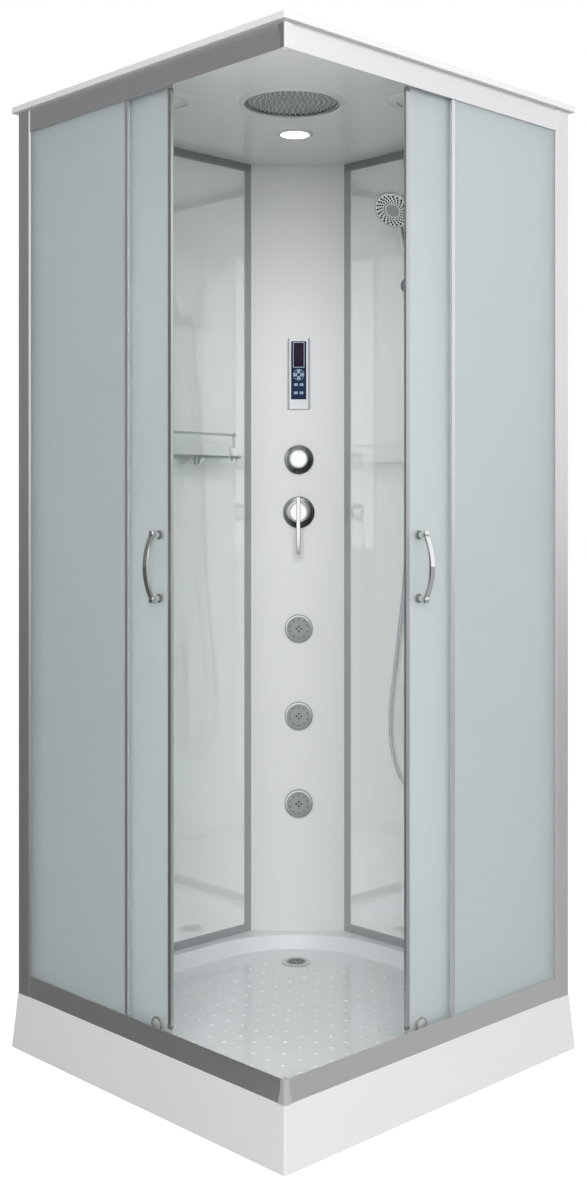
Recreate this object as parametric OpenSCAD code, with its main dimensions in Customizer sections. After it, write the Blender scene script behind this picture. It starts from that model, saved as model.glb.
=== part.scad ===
// Corner shower cabin: tray, two glazed sides with sliding doors that open at the corner,
// two back walls, a diagonal tower with the controls, and a roof with a rain shower.
// The origin is the centre of the footprint on the floor, +Z is up.
// The entry corner is at +X -Y, the tower stands across the corner at -X +Y.

/* [Cabin] */
// Side of the square footprint
cabin_w = 900; // [880:5:1000]
// Height of the roof's upper edge above the floor
cabin_h = 2120; // [2080:1:2250]
// Distance from the footprint's edge to the outer plane of the rails
rail_inset = 10; // [8:1:14]

/* [Tray] */
// Height of the tray's ledge above the floor
tray_h = 123; // [118:1:150]
// Thickness of the tray's shell
tray_wall = 5; // [4:0.5:6]
// How far the skirt spreads from its top to its foot
skirt_splay = 10; // [6:1:16]
// Radius of the skirt's upright corners
skirt_r = 4; // [3:1:20]
// Depth of the basin below the ledge
basin_depth = 33; // [28:1:38]
// Horizontal run of the basin's sloping wall
basin_run = 23; // [15:1:28]
// Radius of the basin's corners
basin_r = 60; // [40:5:80]
// Radius of the basin's corner in front of the tower
basin_back_r = 284; // [260:1:300]
// Side of the square tube of the frame under the tray
tube_w = 25; // [20:5:25]
// Distance from the centre to the frame's outer tubes
frame_reach = 330; // [320:5:345]
// Radius of a levelling foot's pad
foot_r = 20; // [16:1:25]
// Radius of a levelling foot's stud
stud_r = 6; // [5:0.5:7]

/* [Drain] */
// Distance of the drain from both middle planes
drain_at = 230; // [215:5:235]
// Radius of the drain's ring
drain_ring_r = 36; // [33:1:40]
// Radius of the drain bore in the tray
drain_bore_r = 26; // [24:0.5:28]
// Radius of the waste pipe
waste_r = 20; // [16:1:20]

/* [Rails and posts] */
// Height of a bottom rail
rail_h = 47; // [45:1:52]
// Height of a top rail
top_rail_h = 50; // [47:1:54]
// Depth of a rail
rail_d = 38; // [38:1:42]
// Wall thickness of a rail's outer side
rail_wall = 2; // [1.5:0.1:2.4]
// Width of a wall post
post_w = 43; // [38:1:48]
// Distance from the footprint's edge to a wall post
post_inset = 17; // [14:1:20]
// How far the posts and the corner caps stand proud of the rails
proud = 1.5; // [1:0.1:2]
// Length of a corner cap along each rail
cap_len = 12; // [10:1:14]

/* [Glazing] */
// Thickness of the fixed panes and the doors
glass_t = 5; // [4:0.5:5]
// Visible width of a fixed pane, from its post to its free edge
fixed_w = 353; // [340:1:365]
// Position of the doors' leading edge when open, measured from the middle plane
lead_at = 95; // [80:1:110]
// Distance from the leading edge back to the handle
handle_back = 41; // [34:1:45]
// Distance between the handle's two feet
handle_pitch = 128; // [96:4:160]
// Height of the handle's middle above the floor
handle_z = 1097; // [950:1:1200]
// How far the handle's bow stands out from the door
handle_out = 38; // [34:1:46]
// Radius of the rollers
roller_r = 11; // [10.5:0.1:11.5]
// Distance from the leading edge back to the first roller
roller_back = 46; // [40:1:60]

/* [Walls and tower] */
// Thickness of a wall frame
wall_t = 9; // [8:0.5:11]
// Distance from the footprint's edge to a wall frame's inner face
wall_in_inset = 22; // [20:1:24]
// Width of a wall frame's band
band_w = 20; // [16:1:26]
// Thickness of a wall pane
pane_t = 4; // [3:0.5:5]
// Width of the tower's front
tower_w = 241; // [220:0.1:270]
// Thickness of the tower's panel
tower_t = 4; // [3:0.5:5]

/* [Tower fittings] */
// Distance of the fittings' common line to the right of the tower's middle
fit_shift = 3; // [0:0.5:5]
// Height of the control panel's middle
control_z = 1564.5; // [1540:0.5:1600]
// Width of the control panel's case
control_w = 57; // [54:1:64]
// Length of the control panel's case
control_l = 183; // [178:1:200]
// Height of the diverter's axis
diverter_z = 1343; // [1330:1:1360]
// Height of the mixer's axis
mixer_z = 1206; // [1180:1:1220]
// Length of the mixer's lever below its axis
lever_l = 107; // [90:1:130]
// Heights of the body jets' axes
jet_z = [905, 679, 452];
// Radius of a body jet's ring
jet_r = 36; // [34.5:0.5:40]
// Radius of a body jet's ball
ball_r = 32; // [31:0.5:32.5]
// Travel of a key
key_travel = 0.8; // [0.4:0.1:0.8]

/* [Ceiling] */
// Thickness of the roof's edge
roof_h = 13; // [12:1:20]
// Thickness of the roof's plate
roof_t = 4; // [3:0.5:5]
// Radius of the rain shower
rain_r = 105; // [95:1:115]
// Distance of the rain shower from the centre, towards the entry
rain_out = 84; // [80:1:90]
// Radius of the lamp
lamp_r = 33.5; // [30:0.5:38]
// Distance of the lamp from the centre, towards the tower
lamp_in = 177; // [170:1:190]
// Radius of the round covers of the loudspeaker and the fan
cover_r = 80; // [76:1:84]
// Distance of a round cover's middle from the nearer edge of the footprint
cover_inset = 172.8; // [165:0.1:180]
// Distance of a round cover's middle from the other middle plane, towards the back
cover_back = 127.3; // [115:0.1:135]

/* [Hand shower] */
// Position of the hand shower along the wall
hand_x = 17; // [10:1:25]
// Height of the cradle
hand_z = 1768; // [1740:1:1800]
// Distance from the wall's frame to the cradle's middle
hand_off = 33; // [33:1:40]
// Lean of the hand shower away from the wall
hand_lean = 21; // [17:1:22]
// Turn of the hand shower about its handle
hand_turn = 12; // [0:1:15]
// Radius of the spray head
head_r = 47.5; // [42:0.5:52]
// Radius of the ribbed hose over its ribs
hose_r = 7; // [6.5:0.1:7]
// Number of ribs on the hose
ribs = 140; // [60:10:160]

/* [Shelf] */
// Length of the shelf
shelf_l = 350; // [320:5:380]
// Depth of the shelf from the wall
shelf_d = 103; // [100:1:120]
// Position of the shelf's middle along the wall
shelf_y = -30; // [-40:1:0]
// Height of the shelf's upper face
shelf_z = 1345; // [1300:1:1370]
// Thickness of the shelf
shelf_t = 6; // [5:0.5:8]
// Height of the rail above the shelf
shelf_rail_h = 53; // [40:1:60]

/* [Hidden] */
$fn = 96;

// Small clearances
seat_gap = 0.3;
run_gap = 0.05;
eps = 0.01;

// Planes of the frame
half = cabin_w / 2;
rail_out = half - rail_inset;
rail_in = rail_out - rail_d;
roof_z = cabin_h - roof_h;
post_x = -(half - post_inset);
post_end = post_x + post_w;
wall_in = half - wall_in_inset;
wall_out = wall_in + wall_t;
wall_pane = wall_in + 3;
tower_d = sqrt(2) * wall_in - tower_w / 2;
tower_at = tower_d / sqrt(2);
cover_side = (half - cover_inset + cover_back) / sqrt(2);
cover_out = (half - cover_inset - cover_back) / sqrt(2);
basin_edge = half - 50;
basin_z = tray_h - basin_depth;
tube_z = basin_z - tray_wall - tube_w;

// Layers of a rail, counted from its outer plane
fixed_u = 3;
web_u = fixed_u + glass_t + 1.2;
web_t = 1.3;
web_h = 27;
rail_base = 3;
door_u = 15;
track_u = 28;
bead_w = 2.2;
bead_h = 5;
rim_t = 1.5;
rim_h = 18;

// Fixed panes
fixed_edge = post_end + fixed_w;
strip_w = 9;
strip_lap = 2;

// Doors
door_out = rail_out - door_u;
door_in = door_out - glass_t;
seal_side = 3;
seal_l = 10;
nose_t = 6;
tail_l = 12;
tail_at = post_end + 4;
lead_glass = lead_at - 4;
door_low = tray_h + 29;
door_high = roof_z - 14;
groove_r = roller_r - 1.7;
wheel_low_z = tray_h + rail_base + bead_h + seat_gap + groove_r;
wheel_high_z = roof_z - 16;
lip_z = wheel_high_z - groove_r - seat_gap - bead_h;
wheel_y = rail_out - track_u;
wheel_w = 7.2;
arm_t = 4;
axle_r = 2.5;
bolt_z = tray_h + rail_h;
bolt_top_z = roof_z - 34;
bolt_hole_r = 5;
bolt_r = 4.5;
roller_x = [lead_at - roller_back, tail_at + 51];

// Control panel
face_w = 39;
face_l = 150;
face_up = 8.5;
case_h = 9;
case_back = 26;
face_seat = 6.5;
face_h = 8.6;
key_r = 4.3;
key_gap = 0.3;
key_w = 9;
key_l = 6;
key_flange = 0.6;
key_low = face_seat - key_gap - 1;
key_top = face_h + 0.8;
nav_up = -2.5;
nav_r = 8.2;
pad_x = 7.3;
pad_up = [-28.5, -49.5];

// Mixer
pin_h = 24;
pin_r = 3;
spindle_r = 10;
stem_r = 6;

// Jets
ball_h = -10;

// Hand shower
hand_y = wall_in - hand_off;
handle_r = 12;
head_up = 181;
head_fwd = 22.6;
head_tilt = 20.7;
nut_low = -42;
pivot_z = hand_z - 11;
pivot_pin_r = 5;
cradle_r = 19;
cradle_y = wall_in - 5;

// Hose outlet on the wall
outlet_x = 52;
outlet_y = wall_in - 16;
outlet_z = 800;

// Middle line of the hose from the hand shower to the wall outlet, Y from the wall frames' face
hose_points = [[17, -19, 1731], [17, -14, 1718], [16, -11, 1702], [12, -10, 1660],
    [4, -10, 1600], [-8, -11, 1500], [-18, -12, 1380], [-25, -13, 1250], [-29, -14, 1130],
    [-34, -15, 1030], [-46, -16, 940], [-62, -16, 830], [-76, -16, 740], [-80, -16, 667],
    [-72, -16, 607], [-52, -16, 560], [-28, -16, 535], [0, -16, 526], [28, -16, 538],
    [46, -16, 572], [52, -16, 620], [52, -16, 690], [52, -16, 750], [52, -16, 766]];
hose_route = [for (p = hose_points) p + [0, wall_in, 0]];

// Places one child on the left glazed side, or mirrored onto the right one
module side(k) {
    if (k == 0) children();
    else mirror([1, 1, 0]) children();
}

// Frame whose Y axis runs from the entry corner to the tower
module diagonal() {
    rotate([0, 0, 45]) children();
}

// Frame on the tower's front at height z: X to the right, Y up, Z into the cabin
module on_tower(z) {
    diagonal() translate([fit_shift, tower_d, z]) rotate([90, 0, 0]) children();
}

// Frame of the hand shower: Z along its handle, -Y the way that it sprays
module on_handset() {
    translate([hand_x, hand_y, hand_z]) rotate([hand_lean, 0, 0])
        rotate([0, 0, hand_turn]) children();
}

module box(a, b) {
    translate(a) cube(b - a);
}

module round_rect(w, d, r) {
    square([w - 2 * r, d], center = true);
    square([w, d - 2 * r], center = true);
    for (x = [-1, 1], y = [-1, 1])
        translate([x * (w / 2 - r), y * (d / 2 - r)]) circle(r);
}

// Cylinder from a to b
module rod(a, b, r) {
    d = b - a;
    translate(a) rotate([0, acos(d[2] / norm(d)), atan2(d[1], d[0])])
        cylinder(h = norm(d), r = r);
}

// Pipe along straight runs with rounded elbows
module pipe(points, r) {
    for (i = [0 : len(points) - 2]) rod(points[i], points[i + 1], r);
    for (i = [1 : len(points) - 2]) translate(points[i]) sphere(r + 1);
}

// Thin slab with four round corners, for hulls of the skirt
module skirt_slab(reach, z) {
    for (x = [-1, 1], y = [-1, 1])
        translate([x * (reach - skirt_r), y * (reach - skirt_r), z])
            cylinder(h = 0.5, r = skirt_r, $fn = 32);
}

module skirt_block(inset, low, high) {
    hull() {
        skirt_slab(half - inset, low);
        skirt_slab(half - skirt_splay - inset, high - 0.5);
    }
}

// Thin slab with the basin's outline
module basin_slab(edge, corner, back, z) {
    for (p = [[1, -1], [1, 1], [-1, -1]])
        translate([p[0] * (edge - corner), p[1] * (edge - corner), z])
            cylinder(h = 0.5, r = corner, $fn = 64);
    translate([-(edge - back), edge - back, z]) cylinder(h = 0.5, r = back, $fn = 128);
}

module basin_block(grow, low, high) {
    hull() {
        basin_slab(basin_edge - basin_run + grow, basin_r - basin_run / 2, basin_back_r - 49, low);
        basin_slab(basin_edge + grow, basin_r, basin_back_r, high - 0.5);
    }
}

module tray() {
    rear = half - 28;
    color("white") difference() {
        union() {
            difference() {
                skirt_block(0, 0, tray_h);
                skirt_block(tray_wall, -1, tray_h - tray_wall);
                box([-half - 1, -half + 45, -1], [-rear, half + 1, basin_z]);
                box([-half - 1, rear, -1], [half - 45, half + 1, basin_z]);
            }
            basin_block(tray_wall, basin_z - tray_wall, tray_h - 1);
        }
        basin_block(0, basin_z, tray_h + 0.6);
        translate([-drain_at, drain_at, basin_z - tray_wall - 1])
            cylinder(h = tray_wall + 2, r = drain_bore_r);
    }
}

foot_spots = [[-1, -1], [-1, 1], [1, -1], [1, 1], [0, 0]];

module at_feet() {
    reach = frame_reach - tube_w / 2;
    for (p = foot_spots) translate([p[0] * reach, p[1] * reach, 0]) children();
}

module tray_frame() {
    inner = frame_reach - tube_w;
    color("silver") difference() {
        union() {
            difference() {
                box([-frame_reach, -frame_reach, tube_z], [frame_reach, frame_reach, tube_z + tube_w]);
                box([-inner, -inner, tube_z - 1], [inner, inner, tube_z + tube_w + 1]);
            }
            box([-inner - 1, -tube_w / 2, tube_z], [inner + 1, tube_w / 2, tube_z + tube_w]);
            box([-tube_w / 2, -inner - 1, tube_z], [tube_w / 2, inner + 1, tube_z + tube_w]);
            at_feet() translate([0, 0, tube_z - 14]) cylinder(h = 15, r = stud_r + 5, $fn = 6);
        }
        at_feet() translate([0, 0, tube_z - 15]) cylinder(h = 15, r = stud_r + 0.1);
    }
}

module tray_feet() {
    color("dimgray") at_feet() {
        cylinder(h = 5, r = foot_r);
        translate([0, 0, 5]) cylinder(h = 4, r1 = foot_r, r2 = foot_r - 7);
        translate([0, 0, 8]) cylinder(h = tube_z - 8 - 0.5, r = stud_r);
    }
}

trap_top = basin_z - tray_wall;
trap_r = 42;
waste_z = tube_z - waste_r - 7;
waste_end = half - 10;

module drain_trap() {
    color("whitesmoke") difference() {
        union() {
            translate([-drain_at, drain_at, 8]) cylinder(h = trap_top - 14, r = trap_r);
            translate([-drain_at, drain_at, trap_top - 6]) cylinder(h = 6, r = drain_bore_r + 9);
            rod([-drain_at, drain_at, waste_z], [-drain_at - trap_r - 18, drain_at, waste_z], waste_r + 4);
            rod([-drain_at, drain_at, waste_z], [-waste_end, drain_at, waste_z], waste_r);
        }
        translate([-drain_at, drain_at, trap_top - 30])
            cylinder(h = 31, r = drain_bore_r + 0.2);
        rod([-drain_at - trap_r + 4, drain_at, waste_z], [-waste_end - 1, drain_at, waste_z], waste_r - 2);
    }
}

module drain_grate() {
    neck_r = drain_bore_r - 0.5;
    lid_r = neck_r - 2;
    color("silver") translate([-drain_at, drain_at, basin_z]) {
        difference() {
            union() {
                cylinder(h = 2.5, r = drain_ring_r);
                translate([0, 0, -10]) cylinder(h = 10, r = neck_r);
            }
            translate([0, 0, -11]) cylinder(h = 9.6, r = lid_r);
            for (k = [0 : 11]) rotate([0, 0, k * 30])
                translate([lid_r * 0.68, 0, -2]) cylinder(h = 6, r = 2.4);
            for (k = [0 : 5]) rotate([0, 0, k * 60])
                translate([lid_r * 0.33, 0, -2]) cylinder(h = 6, r = 2);
            translate([0, 0, 1.5]) difference() {
                cylinder(h = 2, r = lid_r + 1.5);
                translate([0, 0, -1]) cylinder(h = 4, r = lid_r);
            }
        }
    }
}

// Cross-section of the bottom rail: depth from the outer plane, height above its foot
module low_profile() {
    square([rail_wall, rail_h]);
    square([rail_d, rail_base]);
    translate([web_u, 0]) square([web_t, web_h]);
    translate([rail_d - rim_t, 0]) square([rim_t, rim_h]);
    translate([track_u - bead_w / 2, 0]) square([bead_w, rail_base + bead_h]);
}

// Cross-section of the top rail, which carries its track on a lip
module high_profile() {
    lip = lip_z - (roof_z - top_rail_h);
    square([rail_wall, top_rail_h]);
    translate([0, top_rail_h - rail_base]) square([rail_d, rail_base]);
    translate([web_u, top_rail_h - web_h]) square([web_t, web_h]);
    translate([rail_d - rim_t, lip - 2]) square([rim_t, top_rail_h - lip + 2]);
    translate([track_u - 3, lip - 2]) square([rail_d - track_u + 3, 2]);
    translate([track_u - bead_w / 2, lip - 1]) square([bead_w, bead_h + 1]);
}

// Length of rail of height h on the left side, mitred at the entry corner
module rail(z, h) {
    end = rail_out - cap_len;
    difference() {
        translate([post_end, -rail_out, z]) rotate([90, 0, 90])
            linear_extrude(end - post_end) children();
        translate([rail_out, -rail_out, z - 1]) rotate([0, 0, 45])
            box([0, -100, 0], [100, 200, h + 2]);
        translate([0, 0, z - 1]) linear_extrude(h + 2)
            polygon([[rail_out, -rail_out], [rail_out + 9, -rail_out + 1], [0, 9], [0, 0]]);
    }
}

module track_rails() {
    color("silver") for (k = [0, 1]) side(k) {
        rail(tray_h, rail_h) low_profile();
        rail(roof_z - top_rail_h, top_rail_h) high_profile();
    }
}

// Corner cap whose sides spread towards the tray or the roof
module corner_cap(z, h, flip) {
    ear = cap_len + 6;
    edge = rail_out + proud;
    translate([0, 0, z]) difference() {
        linear_extrude(h) {
            translate([rail_out - cap_len, -rail_out]) square(cap_len);
            difference() {
                union() {
                    translate([edge - ear, -edge]) square([ear - 5, ear]);
                    translate([edge - ear, -edge + 5]) square([ear, ear - 5]);
                    translate([edge - 5, -edge + 5]) circle(5);
                }
                translate([edge - ear - 1, -rail_out]) square([ear + 1 - proud, ear + 1]);
            }
        }
        for (k = [0, 1]) side(k)
            translate([edge - ear - 136, -edge - 1, flip ? h + 12 : -12])
                rotate([-90, 0, 0]) cylinder(h = proud + 1, r = 145);
    }
}

module corner_caps() {
    color("gainsboro") {
        corner_cap(tray_h, rail_h, true);
        corner_cap(roof_z - top_rail_h, top_rail_h, false);
    }
}

module wall_post() {
    y0 = -rail_out - proud;
    inner = -rail_in;
    bevel = 3.5;
    web = 7;
    slot = 5;
    difference() {
        translate([0, 0, tray_h]) linear_extrude(roof_z - tray_h)
            polygon([[post_x, inner], [post_x, y0], [post_end - bevel, y0],
                [post_end, y0 + bevel], [post_end, inner]]);
        box([post_x + 2, y0 + 2, tray_h - 1], [post_end - web, inner - 2, roof_z + 1]);
        box([post_end - slot, -rail_out + fixed_u, tray_h - 1],
            [post_end + 1, -rail_out + fixed_u + glass_t, roof_z + 1]);
    }
}

// Profile on the free edge of a fixed pane
module edge_strip() {
    y0 = -rail_out + fixed_u - 0.8;
    y1 = -rail_out + fixed_u + glass_t + 0.6;
    difference() {
        box([fixed_edge - strip_w + strip_lap, y0, tray_h + rail_h + seat_gap],
            [fixed_edge + strip_lap, y1, roof_z - top_rail_h - seat_gap]);
        box([fixed_edge - strip_w, -rail_out + fixed_u, tray_h],
            [fixed_edge, -rail_out + fixed_u + glass_t, roof_z]);
    }
}

module side_profiles() {
    color("silver") for (k = [0, 1]) side(k) {
        wall_post();
        edge_strip();
    }
}

module fixed_glasses() {
    color("lightcyan") for (k = [0, 1]) side(k)
        box([post_end - 5, -rail_out + fixed_u, tray_h + rail_base],
            [fixed_edge, -rail_out + fixed_u + glass_t, roof_z - rail_base]);
}

// Wall frame behind the left of the cabin, with a window and a groove for its pane
wall_start = -rail_in;
wall_end = (tower_d - tower_w / 2) / sqrt(2) + 6;

module wall_box(inset, near, far) {
    box([-far, wall_start + inset, tray_h + inset],
        [-near, wall_end - (inset > 0 ? inset + 6 : 0), roof_z - inset]);
}

module wall_frames() {
    color("darkgray") for (k = [0, 1]) side(k) difference() {
        wall_box(0, wall_in, wall_out);
        wall_box(band_w, wall_in - 1, wall_out + 1);
        wall_box(band_w / 2, wall_pane, wall_pane + pane_t);
    }
}

module outlet_hole(r) {
    rod([outlet_x, wall_in, outlet_z], [outlet_x, wall_out + 8, outlet_z], r);
}

module wall_glasses() {
    color("aliceblue") difference() {
        for (k = [0, 1]) side(k) wall_box(band_w / 2, wall_pane, wall_pane + pane_t);
        outlet_hole(9.5);
    }
}

module tower_panel() {
    w = tower_w / 2;
    color("whitesmoke") difference() {
        diagonal() translate([0, 0, tray_h]) linear_extrude(roof_z - tray_h)
            polygon([[-w, tower_d], [w, tower_d],
                [w - tower_t, tower_d + tower_t], [-w + tower_t, tower_d + tower_t]]);
        on_tower(control_z) translate([0, 0, -tower_t - 1])
            linear_extrude(tower_t + 2) square([control_w - 10, control_l - 15], center = true);
        on_tower(diverter_z) translate([0, 0, -tower_t - 1])
            cylinder(h = tower_t + 2, r = stem_r + 2);
        on_tower(mixer_z) translate([0, 0, -tower_t - 1])
            cylinder(h = tower_t + 2, r = spindle_r + 1);
        for (z = jet_z) on_tower(z) translate([0, 0, -tower_t - 1])
            cylinder(h = tower_t + 2, r = ball_r + 1);
    }
}

module control_case() {
    color("silver") on_tower(control_z) difference() {
        union() {
            linear_extrude(case_h) round_rect(control_w, control_l, 2.5);
            translate([0, 0, -case_back]) linear_extrude(case_back + eps)
                square([control_w - 12, control_l - 17], center = true);
        }
        translate([0, face_up, face_seat]) linear_extrude(case_h)
            square([face_w + 0.4, face_l + 0.4], center = true);
        translate([0, face_up, 3.3]) linear_extrude(case_h)
            square([face_w - 6, face_l - 6], center = true);
    }
}

key_spots = [[0, nav_up + nav_r], [0, nav_up - nav_r], [-nav_r, nav_up], [nav_r, nav_up]];
pad_spots = [[-pad_x, pad_up[0]], [pad_x, pad_up[0]], [-pad_x, pad_up[1]], [pad_x, pad_up[1]]];

module control_screen() {
    color("midnightblue") on_tower(control_z) difference() {
        translate([0, face_up, face_seat]) linear_extrude(face_h - face_seat)
            square([face_w, face_l], center = true);
        translate([0, 48.5, face_h - 0.4]) linear_extrude(1) square([28, 64], center = true);
        for (p = key_spots) translate([p[0], p[1], 0]) cylinder(h = 20, r = key_r + key_gap);
        for (p = pad_spots) translate([p[0], p[1], 0]) linear_extrude(20)
            square([key_w + 2 * key_gap, key_l + 2 * key_gap], center = true);
    }
}

module round_key(k) {
    color("lightsteelblue") on_tower(control_z) translate([key_spots[k][0], key_spots[k][1], key_low]) {
        cylinder(h = key_top - key_low, r = key_r);
        cylinder(h = 1, r = key_r + key_flange);
    }
}

module flat_key(k) {
    color("lightsteelblue") on_tower(control_z) translate([pad_spots[k][0], pad_spots[k][1], key_low]) {
        linear_extrude(key_top - key_low) square([key_w, key_l], center = true);
        linear_extrude(1) square([key_w + 2 * key_flange, key_l + 2 * key_flange], center = true);
    }
}

module diverter_flange() {
    color("silver") on_tower(diverter_z) rotate_extrude()
        polygon([[stem_r + 1, 0], [38.5, 0], [38.5, 3], [36, 6.5], [30, 10], [24, 12], [stem_r + 1, 12]]);
}

module diverter_knob() {
    color("silver") on_tower(diverter_z) {
        rotate_extrude()
            polygon([[0, 12.3], [22, 12.3], [23.5, 14], [23.5, 38], [22, 41], [17, 42.5], [0, 42.5]]);
        translate([0, 0, -24]) cylinder(h = 37, r = stem_r);
    }
}

module mixer_flange() {
    color("silver") on_tower(mixer_z) rotate_extrude()
        polygon([[spindle_r + 1, 0], [41, 0], [41, 3], [38, 6], [30, 8.5], [spindle_r + 1, 9]]);
}

module mixer_cartridge() {
    color("dimgray") on_tower(mixer_z) {
        translate([0, 0, -32]) cylinder(h = 51, r = spindle_r);
        translate([0, 0, 18]) cylinder(h = 13, r = 15.5);
        rod([-23.5, 0, pin_h], [23.5, 0, pin_h], pin_r);
    }
}

module mixer_lever() {
    color("silver") on_tower(mixer_z) difference() {
        union() {
            rotate_extrude() polygon([[0, 20], [25, 20], [25, 42], [23.5, 45], [20, 46], [0, 46]]);
            box([-5.2, -lever_l, 45], [5.2, 39, 52]);
        }
        translate([0, 0, 19]) cylinder(h = 19, r = 19);
        rod([-24.2, 0, pin_h], [24.2, 0, pin_h], pin_r + run_gap);
    }
}

module jet_rings() {
    color("darkgray") for (z = jet_z) on_tower(z) difference() {
        cylinder(h = 6, r = jet_r);
        translate([0, 0, ball_h]) sphere(ball_r + seat_gap);
    }
}

module jet_ball(z) {
    color("gray") on_tower(z) intersection() {
        translate([0, 0, ball_h]) sphere(ball_r);
        translate([0, 0, -26]) cylinder(h = 33, r = ball_r + 5);
    }
}

// Frame on the ceiling at a distance from the diagonal and from the centre
module on_ceiling(x, y) {
    diagonal() translate([x, y, roof_z]) children();
}

riser_y = tower_d + 31;
cover_bore = 60;

module roof() {
    color("white") difference() {
        translate([0, 0, roof_z]) linear_extrude(roof_h) round_rect(cabin_w, cabin_w, 3);
        translate([0, 0, roof_z + roof_t]) linear_extrude(roof_h)
            round_rect(cabin_w - 8, cabin_w - 8, 2);
        on_ceiling(0, -rain_out) translate([0, 0, -1]) cylinder(h = roof_t + 2, r = rain_r + 1);
        on_ceiling(0, lamp_in) translate([0, 0, -1]) cylinder(h = roof_t + 2, r = lamp_r + 1);
        for (s = [-1, 1]) on_ceiling(s * cover_side, -cover_out) translate([0, 0, -1])
            cylinder(h = roof_t + 2, r = cover_bore);
        on_ceiling(0, riser_y) translate([0, 0, -1]) cylinder(h = roof_t + 2, r = 9);
    }
}

module rain_head() {
    color("gray") on_ceiling(0, -rain_out) {
        translate([0, 0, 2]) cylinder(h = 8, r = rain_r);
        translate([0, 0, roof_t]) cylinder(h = 3, r = rain_r + 8);
        translate([0, 0, 9]) cylinder(h = 6, r = 12);
    }
}

module lamp_lens() {
    color("ivory") on_ceiling(0, lamp_in) {
        translate([0, 0, -3.5]) cylinder(h = 12, r = lamp_r);
        translate([0, 0, roof_t]) cylinder(h = 2, r = lamp_r + 7);
    }
}

// Ring with a sloping outer side, flat on the ceiling
module trim_ring(inner, outer, drop) {
    rotate_extrude() polygon([[inner, 0], [inner, -drop], [inner + (outer - inner) * 0.35, -drop],
        [outer - 1, -1.5], [outer, 0]]);
}

module grille(slots) {
    trim_ring(cover_bore - 3, cover_r, 6);
    difference() {
        translate([0, 0, -3.5]) cylinder(h = 2.5, r = cover_bore - 2.9);
        for (i = [-(slots - 1) / 2 : (slots - 1) / 2])
            translate([0, i * 12, -4]) cube([2 * (cover_bore - 14) * cos(i * 18), 3, 12], center = true);
    }
}

module ceiling_trims() {
    color("white") {
        on_ceiling(0, -rain_out) trim_ring(rain_r + 0.5, rain_r + 11, 5);
        on_ceiling(0, lamp_in) trim_ring(lamp_r + 0.4, lamp_r + 9.5, 4);
        on_ceiling(-cover_side, -cover_out) grille(7);
        on_ceiling(cover_side, -cover_out) grille(7);
    }
}

fan_shaft_r = 2;

module ceiling_units() {
    color("dimgray") {
        on_ceiling(-cover_side, -cover_out) translate([0, 0, roof_t]) {
            cylinder(h = 3, r = cover_bore + 7);
            translate([0, 0, 3]) cylinder(h = 16, r1 = cover_bore - 6, r2 = 28);
            translate([0, 0, 18]) cylinder(h = 14, r = 26);
        }
        on_ceiling(cover_side, -cover_out) translate([0, 0, roof_t]) {
            difference() {
                cylinder(h = 30, r = cover_bore + 5);
                translate([0, 0, -1]) cylinder(h = 32, r = cover_bore + 1);
            }
            for (k = [0 : 2]) rotate([0, 0, 120 * k])
                box([10, -4, 27], [cover_bore + 3, 4, 30]);
            translate([0, 0, 17]) cylinder(h = 13, r = 17);
            translate([0, 0, 4]) cylinder(h = 14, r = fan_shaft_r);
        }
    }
}

module fan_rotor() {
    color("gray") on_ceiling(cover_side, -cover_out) translate([0, 0, roof_t]) difference() {
        union() {
            translate([0, 0, 4.5]) cylinder(h = 12.5 - seat_gap, r = 15);
            for (k = [0 : 4]) rotate([0, 0, 72 * k]) translate([33, 0, 10]) rotate([28, 0, 0])
                cube([42, 20, 1.8], center = true);
        }
        translate([0, 0, 3]) cylinder(h = 16, r = fan_shaft_r + run_gap);
    }
}

// Frame on the spray face, its Z axis the way that it sprays
module on_face() {
    on_handset() translate([0, -head_fwd, head_up]) rotate([90 + head_tilt, 0, 0]) children();
}

module handset() {
    color("silver") difference() {
        union() {
            on_face() rotate_extrude()
                polygon([[0, -2], [head_r - 2, 0], [head_r, -2], [head_r, -7],
                    [head_r - 5, -13], [head_r - 15, -18], [18, -21], [0, -22]]);
            on_handset() {
                translate([0, 0, -26]) cylinder(h = 72, r = handle_r);
                translate([0, 0, 46]) cylinder(h = 62, r1 = handle_r, r2 = handle_r - 1);
                hull() {
                    translate([0, 0, 108]) cylinder(h = 0.5, r = handle_r - 1, $fn = 32);
                    translate([0, 5, 137]) sphere(handle_r - 1, $fn = 32);
                }
                hull() {
                    translate([0, 5, 137]) sphere(handle_r - 1, $fn = 32);
                    translate([0, -head_fwd + 19, head_up - 10]) rotate([90 + head_tilt, 0, 0])
                        cylinder(h = 3, r = handle_r + 9, $fn = 32);
                }
                translate([0, 0, nut_low]) cylinder(h = -26 - nut_low, r1 = 8.5, r2 = 10);
            }
        }
        on_face() translate([0, 0, -3]) cylinder(h = 12, r = head_r - 3);
        on_handset() translate([0, 0, nut_low - 1]) cylinder(h = 5, r = hose_r + 0.3);
    }
}

module handset_face() {
    color("whitesmoke") on_face() difference() {
        translate([0, 0, -3]) cylinder(h = 4, r = head_r - 3.3);
        translate([0, 0, 0.4]) cylinder(h = 1, r = 17);
    }
}

// Wall arm that the cradle turns on, with the round cover of its fixing below
module holder_bracket() {
    color("silver") {
        rod([hand_x, wall_pane, pivot_z], [hand_x, wall_pane - 5, pivot_z], cradle_r + 3);
        rod([hand_x, wall_pane - 4, pivot_z], [hand_x, cradle_y + seat_gap, pivot_z], cradle_r);
        rod([hand_x, cradle_y + 1, pivot_z], [hand_x, cradle_y - 7, pivot_z], pivot_pin_r);
        intersection() {
            translate([hand_x - 13, wall_pane, pivot_z - 35]) sphere(10.5);
            box([hand_x - 40, wall_pane - 20, pivot_z - 60], [hand_x + 20, wall_pane, pivot_z]);
        }
    }
}

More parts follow.
